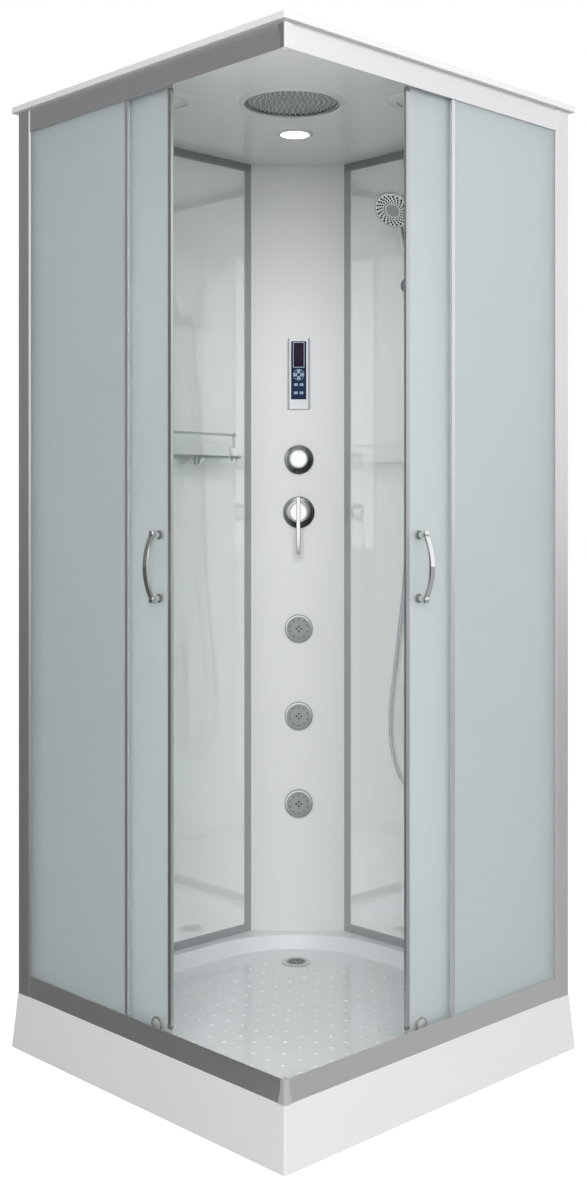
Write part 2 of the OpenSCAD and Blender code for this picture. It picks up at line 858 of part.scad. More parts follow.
module holder_cradle() {
    front = hand_y - 34;
    color("silver") difference() {
        union() {
            rod([hand_x, cradle_y, pivot_z], [hand_x, hand_y - 12, pivot_z], cradle_r);
            rod([hand_x, hand_y - 11, pivot_z], [hand_x, front, pivot_z], cradle_r - 2);
        }
        on_handset() translate([0, 0, -40]) cylinder(h = 70, r = handle_r + seat_gap);
        rod([hand_x, cradle_y + 1, pivot_z], [hand_x, cradle_y - 7.3, pivot_z], pivot_pin_r + run_gap);
    }
}

module hose_outlet() {
    color("silver") {
        rod([outlet_x, wall_out + 1, outlet_z], [outlet_x, outlet_y, outlet_z], 9);
        rod([outlet_x, wall_pane, outlet_z], [outlet_x, wall_pane - 5, outlet_z], 22);
        translate([outlet_x, outlet_y, outlet_z]) sphere(10.5);
        translate([outlet_x, outlet_y, outlet_z - 24]) cylinder(h = 24, r = 9);
        translate([outlet_x, outlet_y, outlet_z - 44]) difference() {
            cylinder(h = 20, r1 = 8.5, r2 = 10);
            translate([0, 0, -1]) cylinder(h = 12, r = hose_r + 0.3);
        }
    }
}

// Smooth curve through the hose's points
function spline(p, i, t) =
    let (a = p[max(i - 1, 0)], b = p[i], c = p[i + 1], d = p[min(i + 2, len(p) - 1)])
    0.5 * ((2 * b) + (c - a) * t + (2 * a - 5 * b + 4 * c - d) * t * t
        + (3 * b - a - 3 * c + d) * t * t * t);

function curve(p, n) = [for (i = [0 : len(p) - 2], k = [0 : n - 1]) spline(p, i, k / n), p[len(p) - 1]];

function lengths(p, i = 1, s = [0]) =
    i == len(p) ? s : lengths(p, i + 1, concat(s, [s[i - 1] + norm(p[i] - p[i - 1])]));

// Point at distance d along a line whose running lengths are s
function along(p, s, d) =
    let (i = max([for (k = [0 : len(s) - 2]) if (s[k] <= d) k]))
    p[i] + (p[i + 1] - p[i]) * (d - s[i]) / (s[i + 1] - s[i]);

function unit(v) = v / norm(v);

// Ring of points square to direction t; w keeps every ring turned the same way
function ring(c, t, r, sides) =
    let (w = [0, 1, 0.2], u = unit(cross(t, w)), v = cross(u, t))
    [for (k = [0 : sides - 1]) c + r * (cos(360 * k / sides) * u + sin(360 * k / sides) * v)];

hose_sides = 8;
hose_line = curve(hose_route, 6);
hose_s = lengths(hose_line);
hose_l = hose_s[len(hose_s) - 1];
hose_end = 2 * hose_r;
rib_pitch = (hose_l - 2 * hose_end) / ribs;
rib_depth = 1;
bore_r = hose_r - 3;
bore_rings = 60;

// Distances of the outer rings: each rib has a crest and a root
rib_at = concat([0], [for (k = [0 : ribs - 1], h = [0.25, 0.75]) hose_end + (k + h) * rib_pitch], [hose_l]);
rib_rad = concat([hose_r - 0.5], [for (k = [0 : ribs - 1], h = [0, 1]) hose_r - h * rib_depth],
    [hose_r - 0.5]);
bore_at = [for (k = [0 : bore_rings]) hose_l * k / bore_rings];

function tangent(d) =
    unit(along(hose_line, hose_s, min(d + 2, hose_l)) - along(hose_line, hose_s, max(d - 2, 0)));

function end_tangent(d) =
    d <= hose_end / 2 ? unit(hose_route[1] - hose_route[0])
    : d >= hose_l - hose_end / 2 ? unit(hose_route[len(hose_route) - 1] - hose_route[len(hose_route) - 2])
    : tangent(d);

module shower_hose() {
    outer = [for (i = [0 : len(rib_at) - 1])
        each ring(along(hose_line, hose_s, min(rib_at[i], hose_l - eps)), end_tangent(rib_at[i]),
            rib_rad[i], hose_sides)];
    inner = [for (d = bore_at)
        each ring(along(hose_line, hose_s, min(d, hose_l - eps)), end_tangent(d), bore_r, hose_sides)];
    n = len(rib_at);
    m = len(bore_at);
    s = hose_sides;
    base = n * s;
    skin = [for (i = [0 : n - 2], k = [0 : s - 1]) let (a = i * s + k, b = i * s + (k + 1) % s)
        each [[a, b, a + s], [b, b + s, a + s]]];
    bore = [for (i = [0 : m - 2], k = [0 : s - 1])
        let (a = base + i * s + k, b = base + i * s + (k + 1) % s)
        each [[a, a + s, b], [b, a + s, b + s]]];
    first = [for (k = [0 : s - 1]) let (j = (k + 1) % s) each [[k, base + k, j], [j, base + k, base + j]]];
    last = [for (k = [0 : s - 1]) let (j = (k + 1) % s, a = (n - 1) * s, b = base + (m - 1) * s)
        each [[a + k, a + j, b + k], [a + j, b + j, b + k]]];
    color("silver") polyhedron(concat(outer, inner), concat(skin, bore, first, last), convexity = 12);
}

// Least distance between stretches of the hose that lie far apart along it
hose_checks = [for (k = [0 : 100]) along(hose_line, hose_s, min(hose_l * k / 100, hose_l - eps))];
hose_self_gap = min([for (i = [0 : 100], j = [0 : 100])
    if (j - i > 12) norm(hose_checks[i] - hose_checks[j])]) - 2 * hose_r;
echo(hose_length = hose_l, hose_self_gap = hose_self_gap);

shelf_front = -wall_pane + shelf_d;
shelf_rail_x = shelf_front - 12;
shelf_low = shelf_y - shelf_l / 2;
shelf_high = shelf_y + shelf_l / 2;

module shelf_glass() {
    r = 18;
    color("lightcyan") translate([0, 0, shelf_z - shelf_t]) linear_extrude(shelf_t) {
        translate([-wall_pane + 1, shelf_low]) square([shelf_d - 1 - r, shelf_l]);
        translate([-wall_pane + 1, shelf_low + r]) square([shelf_d - 1, shelf_l - 2 * r]);
        for (y = [shelf_low + r, shelf_high - r]) translate([shelf_front - r, y]) circle(r);
    }
}

module shelf_fittings() {
    inset = 24;
    under = shelf_z - shelf_t;
    color("silver") {
        for (y = [shelf_y - 87, shelf_y + 87]) {
            translate([-wall_pane + 23, y, under - 14]) cylinder(h = 14, r1 = 13, r2 = 21);
            box([-wall_pane, y - 8, under - 11], [-wall_pane + 20, y + 8, under - 1]);
            translate([-wall_pane + 23, y, shelf_z]) cylinder(h = 3, r = 15);
        }
        for (y = [shelf_low + inset, shelf_high - inset]) {
            translate([shelf_rail_x, y, shelf_z]) cylinder(h = 17, r = 7);
            translate([shelf_rail_x, y, shelf_z + 16]) cylinder(h = shelf_rail_h - 16, r = 3.5);
            translate([shelf_rail_x, y, shelf_z + shelf_rail_h]) sphere(4.4);
            translate([shelf_rail_x, y, under - 5]) cylinder(h = 5, r = 8);
        }
        rod([shelf_rail_x, shelf_low + inset, shelf_z + shelf_rail_h],
            [shelf_rail_x, shelf_high - inset, shelf_z + shelf_rail_h], 4);
    }
}

inlet_r = 10.5;
inlet_end = 60;
collar_end = 44;
valve_back = 58;
pipe_back = 46;
jet_back = 80;
cup_back = 55;

module valve(z, r, bore) {
    on_tower(z) difference() {
        translate([0, 0, -valve_back]) cylinder(h = valve_back - tower_t, r = r);
        translate([0, 0, -34]) cylinder(h = 40, r = bore);
    }
}

module pipework() {
    pass_x = -tower_at + 41;
    pass_y = wall_out - 25;
    color("peru") {
        valve(diverter_z, 24, stem_r + run_gap);
        valve(mixer_z, 26, spindle_r + run_gap);
        on_tower(mixer_z) for (s = [-1, 1]) {
            rod([s * 12, 0, 2 - pipe_back], [s * inlet_end, 0, 2 - pipe_back], inlet_r);
            rod([s * 14, 0, 2 - pipe_back], [s * collar_end, 0, 2 - pipe_back], inlet_r + 3);
        }
        on_tower(0) {
            rod([0, mixer_z + 15, -pipe_back], [0, diverter_z - 14, -pipe_back], 8);
            pipe([[0, diverter_z, 8 - valve_back], [0, diverter_z, -jet_back], [0, jet_z[2], -jet_back],
                [0, jet_z[2], 5 - cup_back]], 7);
            for (k = [0, 1]) rod([0, jet_z[k], -jet_back], [0, jet_z[k], 5 - cup_back], 5.5);
            for (z = jet_z) translate([0, z, -cup_back]) difference() {
                cylinder(h = cup_back - tower_t, r = ball_r + 5.5);
                translate([0, 0, 19]) cylinder(h = cup_back, r = ball_r + 1.3);
            }
        }
        diagonal() pipe([[fit_shift, tower_d + pipe_back, diverter_z + 14],
            [fit_shift, tower_d + pipe_back, roof_z - 40], [0, riser_y, roof_z - 25],
            [0, riser_y, roof_z + 22], [0, -rain_out, roof_z + 22], [0, -rain_out, roof_z + 15]], 6);
        pipe([[outlet_x, wall_out + 1, outlet_z], [outlet_x, wall_out + 7, outlet_z],
            [pass_x + 30, wall_out + 7, outlet_z], [pass_x, pass_y, outlet_z],
            [pass_x, pass_y, diverter_z], [-tower_at + 6, tower_at + 25, diverter_z]], 5.5);
    }
}

// Door of the left side, as seen from outside
module door_holes() {
    for (x = roller_x) {
        rod([x, -door_out - 1, bolt_z], [x, -door_in + 1, bolt_z], bolt_hole_r);
        rod([x, -door_out - 1, bolt_top_z], [x, -door_in + 1, bolt_top_z], bolt_hole_r);
    }
    for (s = [-1, 1]) rod([lead_at - handle_back, -door_out - 1, handle_z + s * handle_pitch / 2],
        [lead_at - handle_back, -door_in + 1, handle_z + s * handle_pitch / 2], bolt_hole_r);
}

module door_glass() {
    color("lightcyan") difference() {
        box([tail_at + 3, -door_out, door_low], [lead_glass, -door_in, door_high]);
        door_holes();
    }
}

// Carrier of a roller: cap outside, bolt through the glass, arm inside and axle
module carrier(x, bolt_at, wheel_at, cap_r) {
    arm_y = -door_in;
    axle_end = -wheel_y + wheel_w / 2 + seat_gap;
    rod([x, -door_out, bolt_at], [x, -door_out - 4, bolt_at], cap_r);
    rod([x, -door_out - 1, bolt_at], [x, arm_y + 1, bolt_at], bolt_r);
    rod([x, arm_y, bolt_at], [x, arm_y + arm_t, bolt_at], 12);
    if (bolt_at != wheel_at) {
        rod([x, arm_y, wheel_at], [x, arm_y + arm_t, wheel_at], 7);
        box([x - 7, arm_y, min(bolt_at, wheel_at)], [x + 7, arm_y + arm_t, max(bolt_at, wheel_at)]);
    }
    rod([x, arm_y + arm_t - 1, wheel_at], [x, axle_end + 0.5, wheel_at], axle_r);
    rod([x, axle_end, wheel_at], [x, axle_end + 1.5, wheel_at], 4.5);
}

module door_fittings() {
    low = tray_h + rail_h + 1;
    high = roof_z - top_rail_h - 1;
    y0 = -door_out - seal_side;
    y1 = -door_in + seal_side;
    color("gray") {
        difference() {
            translate([0, 0, low]) linear_extrude(high - low)
                polygon([[lead_at - seal_l, y0], [lead_at, y0], [lead_at, y0 + nose_t],
                    [lead_at + y0 + nose_t - y1, y1], [lead_at - seal_l, y1]]);
            box([lead_at - seal_l - 1, -door_out, low - 1], [lead_glass, -door_in, high + 1]);
        }
        difference() {
            box([tail_at, y0 + 1, low], [tail_at + tail_l, y1 - 1, high]);
            box([tail_at + 3, -door_out, low - 1], [tail_at + tail_l + 1, -door_in, high + 1]);
        }
        for (x = roller_x) {
            carrier(x, bolt_z, wheel_low_z, 16);
            carrier(x, bolt_top_z, wheel_high_z, 9);
        }
    }
}

module door_handle() {
    x = lead_at - handle_back;
    foot_l = 16;
    strap_t = 4.5;
    over = 10;
    reach = handle_pitch / 2 + over;
    sag = handle_out - foot_l;
    bow_r = (reach * reach + sag * sag) / (2 * sag);
    swing = asin(reach / bow_r);
    color("silver") {
        for (s = [-1, 1]) {
            z = handle_z + s * handle_pitch / 2;
            rod([x, -door_out - 1.5, z], [x, -door_out - foot_l - 5, z], 6);
            rod([x, -door_out, z], [x, -door_out - 1.5, z], 8.5);
            rod([x, -door_out - 1, z], [x, -door_in + 1, z], 4);
            rod([x, -door_in, z], [x, -door_in + 4, z], 9);
        }
        translate([x, -door_out - handle_out + bow_r, handle_z]) rotate([0, 90, 0])
            rotate([0, 0, -90 - swing]) translate([0, 0, -6])
                rotate_extrude(angle = 2 * swing, $fn = 360)
                    translate([bow_r - strap_t, 0]) square([strap_t, 12]);
    }
}

module roller(x, z) {
    w = wheel_w / 2;
    color("white") translate([x, -wheel_y, z]) rotate([90, 0, 0]) rotate_extrude()
        polygon([[axle_r + run_gap, -w], [roller_r - 0.5, -w], [roller_r, -w + 0.5], [roller_r, -1.9],
            [groove_r, -1.5], [groove_r, 1.5], [roller_r, 1.9], [roller_r, w - 0.5],
            [roller_r - 0.5, w], [axle_r + run_gap, w]]);
}

tray();
tray_frame();
tray_feet();
drain_trap();
drain_grate();
track_rails();
corner_caps();
side_profiles();
fixed_glasses();
wall_glasses();
wall_frames();
tower_panel();
control_case();
control_screen();
round_key(0);  // key_up
round_key(1);  // key_down
round_key(2);  // key_left
round_key(3);  // key_right
flat_key(0);  // key_power
flat_key(1);  // key_light
flat_key(2);  // key_radio
flat_key(3);  // key_fan
diverter_flange();
diverter_knob();
mixer_flange();
mixer_cartridge();
mixer_lever();
jet_rings();
jet_ball(jet_z[0]);  // jet_top
jet_ball(jet_z[1]);  // jet_middle
jet_ball(jet_z[2]);  // jet_bottom
roof();
rain_head();
ceiling_trims();
lamp_lens();
ceiling_units();
fan_rotor();
handset();
handset_face();
holder_bracket();
holder_cradle();
shower_hose();
hose_outlet();
shelf_glass();
shelf_fittings();
pipework();
side(0) door_glass();  // door_glass_left
side(1) door_glass();  // door_glass_right
side(0) door_fittings();  // door_fittings_left
side(1) door_fittings();  // door_fittings_right
side(0) door_handle();  // door_handle_left
side(1) door_handle();  // door_handle_right
side(0) roller(roller_x[0], wheel_high_z);  // roller_left_top_front
side(0) roller(roller_x[1], wheel_high_z);  // roller_left_top_back
side(0) roller(roller_x[0], wheel_low_z);  // roller_left_low_front
side(0) roller(roller_x[1], wheel_low_z);  // roller_left_low_back
side(1) roller(roller_x[0], wheel_high_z);  // roller_right_top_front
side(1) roller(roller_x[1], wheel_high_z);  // roller_right_top_back
side(1) roller(roller_x[0], wheel_low_z);  // roller_right_low_front
side(1) roller(roller_x[1], wheel_low_z);  // roller_right_low_back
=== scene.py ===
import math

import bmesh
import bpy
from mathutils import Matrix, Vector


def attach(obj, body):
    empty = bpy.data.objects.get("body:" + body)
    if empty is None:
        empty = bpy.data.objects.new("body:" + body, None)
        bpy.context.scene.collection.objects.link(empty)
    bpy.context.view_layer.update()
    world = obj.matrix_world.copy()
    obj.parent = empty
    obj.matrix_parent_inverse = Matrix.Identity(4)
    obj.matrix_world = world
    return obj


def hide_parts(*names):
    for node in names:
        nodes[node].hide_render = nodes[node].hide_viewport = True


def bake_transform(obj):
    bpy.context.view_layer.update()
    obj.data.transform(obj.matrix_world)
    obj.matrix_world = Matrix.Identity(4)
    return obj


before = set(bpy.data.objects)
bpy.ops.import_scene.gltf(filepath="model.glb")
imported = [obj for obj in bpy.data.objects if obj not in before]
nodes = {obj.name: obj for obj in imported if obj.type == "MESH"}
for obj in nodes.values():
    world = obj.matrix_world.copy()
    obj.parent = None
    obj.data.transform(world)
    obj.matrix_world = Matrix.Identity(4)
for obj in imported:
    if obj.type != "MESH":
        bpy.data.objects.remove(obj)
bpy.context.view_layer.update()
half = math.sqrt(0.5)

# foot of the line of fittings on the tower, the tower's right and the way out of it
towerFoot = Vector((-0.34067, 0.34492, 0))
towerRight = Vector((half, half, 0))
towerOut = Vector((half, -half, 0))

# heights of the fittings, and how far right of the tower's middle they sit
fittings = {"knob": 1.343, "mixer": 1.206, "panel": 1.5645, "shift": 0.003}


def onTower(x, height, out):
    spot = towerFoot + towerRight * x + Vector((0, 0, height)) + towerOut * out
    turn = Matrix((towerRight, (0, 0, 1), towerOut)).transposed().to_4x4()
    return Matrix.Translation(spot) @ turn


def onCeiling(side, toEntry, z):
    spot = Vector(((side + toEntry) * half, (side - toEntry) * half, z))
    return Matrix.Translation(spot) @ Matrix.Rotation(math.radians(45), 4, "Z")


# mirrors a place on the left glazed side onto the right one
swapSides = Matrix(((0, -1, 0, 0), (-1, 0, 0, 0), (0, 0, 1, 0), (0, 0, 0, 1)))

# camera, as the photograph was taken
cameraView = {"place": (2.3639, -2.2517, 1.2091), "turn": 45.455, "lens": 43.854,
              "shift": (-0.01957, -0.06974)}
cameraData = bpy.data.cameras.new("camera")
cameraData.lens = cameraView["lens"]
cameraData.shift_x, cameraData.shift_y = cameraView["shift"]
cameraData.clip_end = 60
camera = bpy.data.objects.new("camera", cameraData)
camera.location = cameraView["place"]
camera.rotation_euler = (math.radians(90), 0, math.radians(cameraView["turn"]))
bpy.context.scene.collection.objects.link(camera)
bpy.context.scene.camera = camera
print("camera placed")


class Wire:
    def __init__(self, paint, socket):
        self.paint = paint
        self.socket = socket

    def maths(self, operation, *values):
        made = self.paint.node("ShaderNodeMath", {"operation": operation}, dict(enumerate(values)))
        return Wire(self.paint, made.outputs[0])

    def __add__(self, other):
        return self.maths("ADD", self, other)

    __radd__ = __add__

    def __sub__(self, other):
        return self.maths("SUBTRACT", self, other)

    def __rsub__(self, other):
        return self.maths("SUBTRACT", other, self)

    def __mul__(self, other):
        return self.maths("MULTIPLY", self, other)

    __rmul__ = __mul__

    def __pow__(self, other):
        return self.maths("POWER", self, other)

    def __gt__(self, other):
        return self.maths("GREATER_THAN", self, other)

    def __lt__(self, other):
        return self.maths("LESS_THAN", self, other)

    def size(self):
        return self.maths("ABSOLUTE", self)

    def spread(self, low, high, first=0.0, last=1.0):
        made = self.paint.node("ShaderNodeMapRange", {"interpolation_type": "SMOOTHSTEP"},
                               {"Value": self, "From Min": low, "From Max": high,
                                "To Min": first, "To Max": last})
        return Wire(self.paint, made.outputs[0])


class Paint:
    def __init__(self, name, **sockets):
        self.material = bpy.data.materials.new(name)
        self.material.use_nodes = True
        self.tree = self.material.node_tree
        self.shader = self.tree.nodes["Principled BSDF"]
        self.set(**sockets)

    def node(self, kind, settings=None, values=None):
        made = self.tree.nodes.new(kind)
        for key, value in (settings or {}).items():
            setattr(made, key, value)
        for key, value in (values or {}).items():
            self.join(value, made.inputs[key])
        return made

    def join(self, value, socket):
        if isinstance(value, Wire):
            self.tree.links.new(value.socket, socket)
        elif socket.type == "RGBA" and len(value) == 3:
            socket.default_value = (*value, 1)
        else:
            socket.default_value = value

    def set(self, **sockets):
        for name, value in sockets.items():
            words = "".join(" " + c if c.isupper() else c for c in name).strip()
            words = words.replace("Ior", "IOR")
            self.join(value, self.shader.inputs[words])
        return self

    def place(self, scale=(1, 1, 1)):
        where = self.node("ShaderNodeTexCoord")
        moved = self.node("ShaderNodeMapping", {}, {"Vector": Wire(self, where.outputs["Object"]),
                                                    "Scale": scale})
        return Wire(self, moved.outputs[0])

    def parts(self, where=None):
        made = self.node("ShaderNodeSeparateXYZ", {}, {0: where or self.place()})
        return [Wire(self, made.outputs[i]) for i in range(3)]

    def noise(self, where, scale, detail=3.0, rough=0.5):
        made = self.node("ShaderNodeTexNoise", {}, {"Vector": where, "Scale": scale,
                                                    "Detail": detail, "Roughness": rough})
        return Wire(self, made.outputs["Fac"])

    def blend(self, mask, first, last):
        made = self.node("ShaderNodeMix", {"data_type": "RGBA"}, {0: mask, 6: first, 7: last})
        return Wire(self, made.outputs[2])

    def bump(self, height, strength, distance):
        made = self.node("ShaderNodeBump", {}, {"Strength": strength, "Distance": distance,
                                                "Height": height})
        self.join(Wire(self, made.outputs[0]), self.shader.inputs["Normal"])
        return self


def acrylicPaint(name, color, look):
    # painted shade: the outside of the acrylic is painted darker than the inside, though both are one
    # acrylic
    paint = Paint(name, CoatWeight=0.0, Ior=1.49)
    where = paint.place()
    cloud = paint.noise(where, 3.0, 2.0)
    grain = paint.noise(where, 260.0, 2.0)
    x, y, z = paint.parts()
    outer = x.size().maths("MAXIMUM", x.size(), y.size()) > look["edge"]
    inner = paint.blend(cloud.spread(0.3, 0.7), color, [c * 0.985 for c in color])
    shadedOutside = paint.blend(cloud.spread(0.3, 0.7), look["outer"], [c * 0.985 for c in look["outer"]])
    paint.set(BaseColor=paint.blend(outer, inner, shadedOutside),
              Roughness=look["rough"] + cloud * look["uneven"])
    return paint.bump(grain, look["grain"], 0.0004)


def profilePaint(name, color, stretch, rough=0.3):
    paint = Paint(name, Metallic=0.9)
    where = paint.place(stretch)
    streaks = paint.noise(where, 1.0, 4.0, 0.6)
    cloud = paint.noise(paint.place(), 5.0, 2.0)
    paint.set(BaseColor=paint.blend(streaks.spread(0.3, 0.7), [c * 0.975 for c in color], color),
              Roughness=rough - 0.04 + streaks * 0.06 + cloud * 0.03)
    return paint.bump(streaks, 0.012, 0.0002)


def chromePaint(name, color, rough=0.06):
    paint = Paint(name, Metallic=1.0)
    where = paint.place()
    haze = paint.noise(where, 24.0, 3.0)
    spots = paint.noise(where, 700.0, 2.0)
    paint.set(BaseColor=paint.blend(haze.spread(0.35, 0.75), color, [c * 0.96 for c in color]),
              Roughness=rough + haze * 0.03 + (spots > 0.68) * 0.05)
    return paint


def plasticPaint(name, color, rough=0.35, grain=0.15, metallic=0.0, gloss=0.5):
    paint = Paint(name, Metallic=metallic, SpecularIorLevel=gloss)
    where = paint.place()
    cloud = paint.noise(where, 18.0, 3.0)
    fine = paint.noise(where, 900.0, 2.0)
    paint.set(BaseColor=paint.blend(cloud.spread(0.3, 0.7), color, [c * 0.93 for c in color]),
              Roughness=rough - 0.03 + cloud * 0.06)
    return paint.bump(fine, grain, 0.0002)


def frostedPaint(name, color):
    paint = Paint(name, TransmissionWeight=frosting["clear"], Metallic=frosting["sheen"], Ior=1.3)
    where = paint.place()
    satin = paint.noise(where, 1400.0, 2.0)
    cloud = paint.noise(where, 2.5, 2.0)
    paint.set(BaseColor=paint.blend(cloud.spread(0.3, 0.7), color, [c * 0.985 for c in color]),
              Roughness=frosting["rough"] + cloud * 0.04)
    return paint.bump(satin, 0.12, 0.0002)


def cornerShadePaint(name, color, low):
    # polished at the roof, satin at the tray; the darker colour towards the tray is painted shade
    paint = Paint(name)
    x, y, z = paint.parts()
    high = z.spread(0.9, 1.1)
    haze = paint.noise(paint.place(), 24.0, 3.0)
    paint.set(BaseColor=paint.blend(high, low, color), Metallic=0.35 + high * 0.65,
              Roughness=0.3 - high * 0.22 + haze * 0.03)
    return paint


def leanReflectionPaint(name, middles, light, dark, metallic=1.0, lean=(half, -half)):
    # painted reflection: light and dark along the lean on each round piece of the tower, standing in for
    # what the chrome reflects
    paint = Paint(name, Metallic=metallic)
    x, y, z = paint.parts()
    across = (x + y) * half - fittings["shift"]
    reflectionMask = None
    for height, reach in middles:
        down = across * lean[0] + (z - height) * lean[1]
        near = (z - height).size() < reach * 1.5
        part = down.spread(-reach * 0.9, reach * 0.75) * near
        reflectionMask = part if reflectionMask is None else reflectionMask + part
    haze = paint.noise(paint.place(), 24.0, 3.0)
    paint.set(BaseColor=paint.blend(reflectionMask, light, dark), Roughness=0.07 + haze * 0.04)
    return paint


def drainPaint(name, middle, radius, color, dark):
    paint = Paint(name, Metallic=1.0)
    x, y, z = paint.parts()
    away = ((x - middle[0]) ** 2 + (y - middle[1]) ** 2) ** 0.5
    haze = paint.noise(paint.place(), 90.0, 3.0)
    inside = away.spread(radius - 0.0015, radius + 0.0005, 1.0, 0.0)
    paint.set(BaseColor=paint.blend(inside, color, dark), Roughness=0.16 + haze * 0.1)
    return paint


def coverPaint(name, middles, radius, color, dish):
    # ceiling trim whose round covers are warmer inside
    paint = Paint(name, Ior=1.49)
    x, y, z = paint.parts()
    mask = None
    for middle in middles:
        away = ((x - middle[0]) ** 2 + (y - middle[1]) ** 2) ** 0.5
        part = away.spread(radius - 0.003, radius, 1.0, 0.0)
        mask = part if mask is None else mask + part
    grain = paint.noise(paint.place(), 260.0, 2.0)
    paint.set(BaseColor=paint.blend(mask, color, dish), Roughness=0.3 + grain * 0.06)
    return paint.bump(grain, 0.01, 0.0002)


def casePaint(name, size, edge, middle, rim):
    # pale middle between two grey side lengths
    paint = Paint(name, Metallic=0.1)
    x, y, z = paint.parts()
    across = ((x + y) * half - fittings["shift"]).size()
    side = across.spread(size - edge - 0.0008, size - edge + 0.0002)
    cloud = paint.noise(paint.place(), 60.0, 3.0)
    fine = paint.noise(paint.place(), 900.0, 2.0)
    paint.set(BaseColor=paint.blend(side, middle, rim), Roughness=0.2 + cloud * 0.08)
    return paint.bump(fine, 0.04, 0.0002)


def wallFrameShadedPaint(name, color, top):
    # satin aluminium, with painted shade darkening its top band under the roof
    paint = Paint(name, Metallic=0.55)
    streaks = paint.noise(paint.place((300, 300, 6)), 1.0, 4.0, 0.6)
    x, y, z = paint.parts()
    high = z.spread(top - 0.03, top - 0.012)
    cloud = paint.noise(paint.place(), 5.0, 2.0)
    base = paint.blend(streaks.spread(0.3, 0.7), [c * 0.96 for c in color], color)
    paint.set(BaseColor=paint.blend(high, base, [c * 0.68 for c in color]), Roughness=0.36 + cloud * 0.05)
    return paint.bump(streaks, 0.03, 0.0002)


def towerPaint(name, color):
    paint = Paint(name, Metallic=0.1)
    streaks = paint.noise(paint.place((240, 240, 4)), 1.0, 3.0, 0.5)
    cloud = paint.noise(paint.place(), 2.0, 2.0)
    paint.set(BaseColor=paint.blend(streaks.spread(0.2, 0.8), [c * 0.988 for c in color], color),
              Roughness=0.36 + cloud * 0.05 + streaks * 0.02)
    return paint.bump(streaks, 0.015, 0.0002)


def mirrorGlassPaint(name, color, shine):
    paint = Paint(name, Metallic=shine, Ior=1.5)
    where = paint.place()
    cloud = paint.noise(where, 2.0, 2.0)
    paint.set(BaseColor=paint.blend(cloud.spread(0.3, 0.7), color, [c * 0.99 for c in color]),
              Roughness=0.015 + cloud * 0.01)
    return paint


def clearPaint(name, color):
    paint = Paint(name, TransmissionWeight=0.95, Ior=1.5)
    where = paint.place()
    smear = paint.noise(where, 12.0, 3.0)
    paint.set(BaseColor=color, Roughness=0.01 + smear.spread(0.5, 0.8) * 0.03)
    return paint


def glowPaint(name, color, strength):
    paint = Paint(name, Roughness=0.3, EmissionStrength=strength)
    cloud = paint.noise(paint.place(), 30.0, 2.0)
    paint.set(BaseColor=color, EmissionColor=paint.blend(cloud, color, [c * 0.98 for c in color]))
    return paint


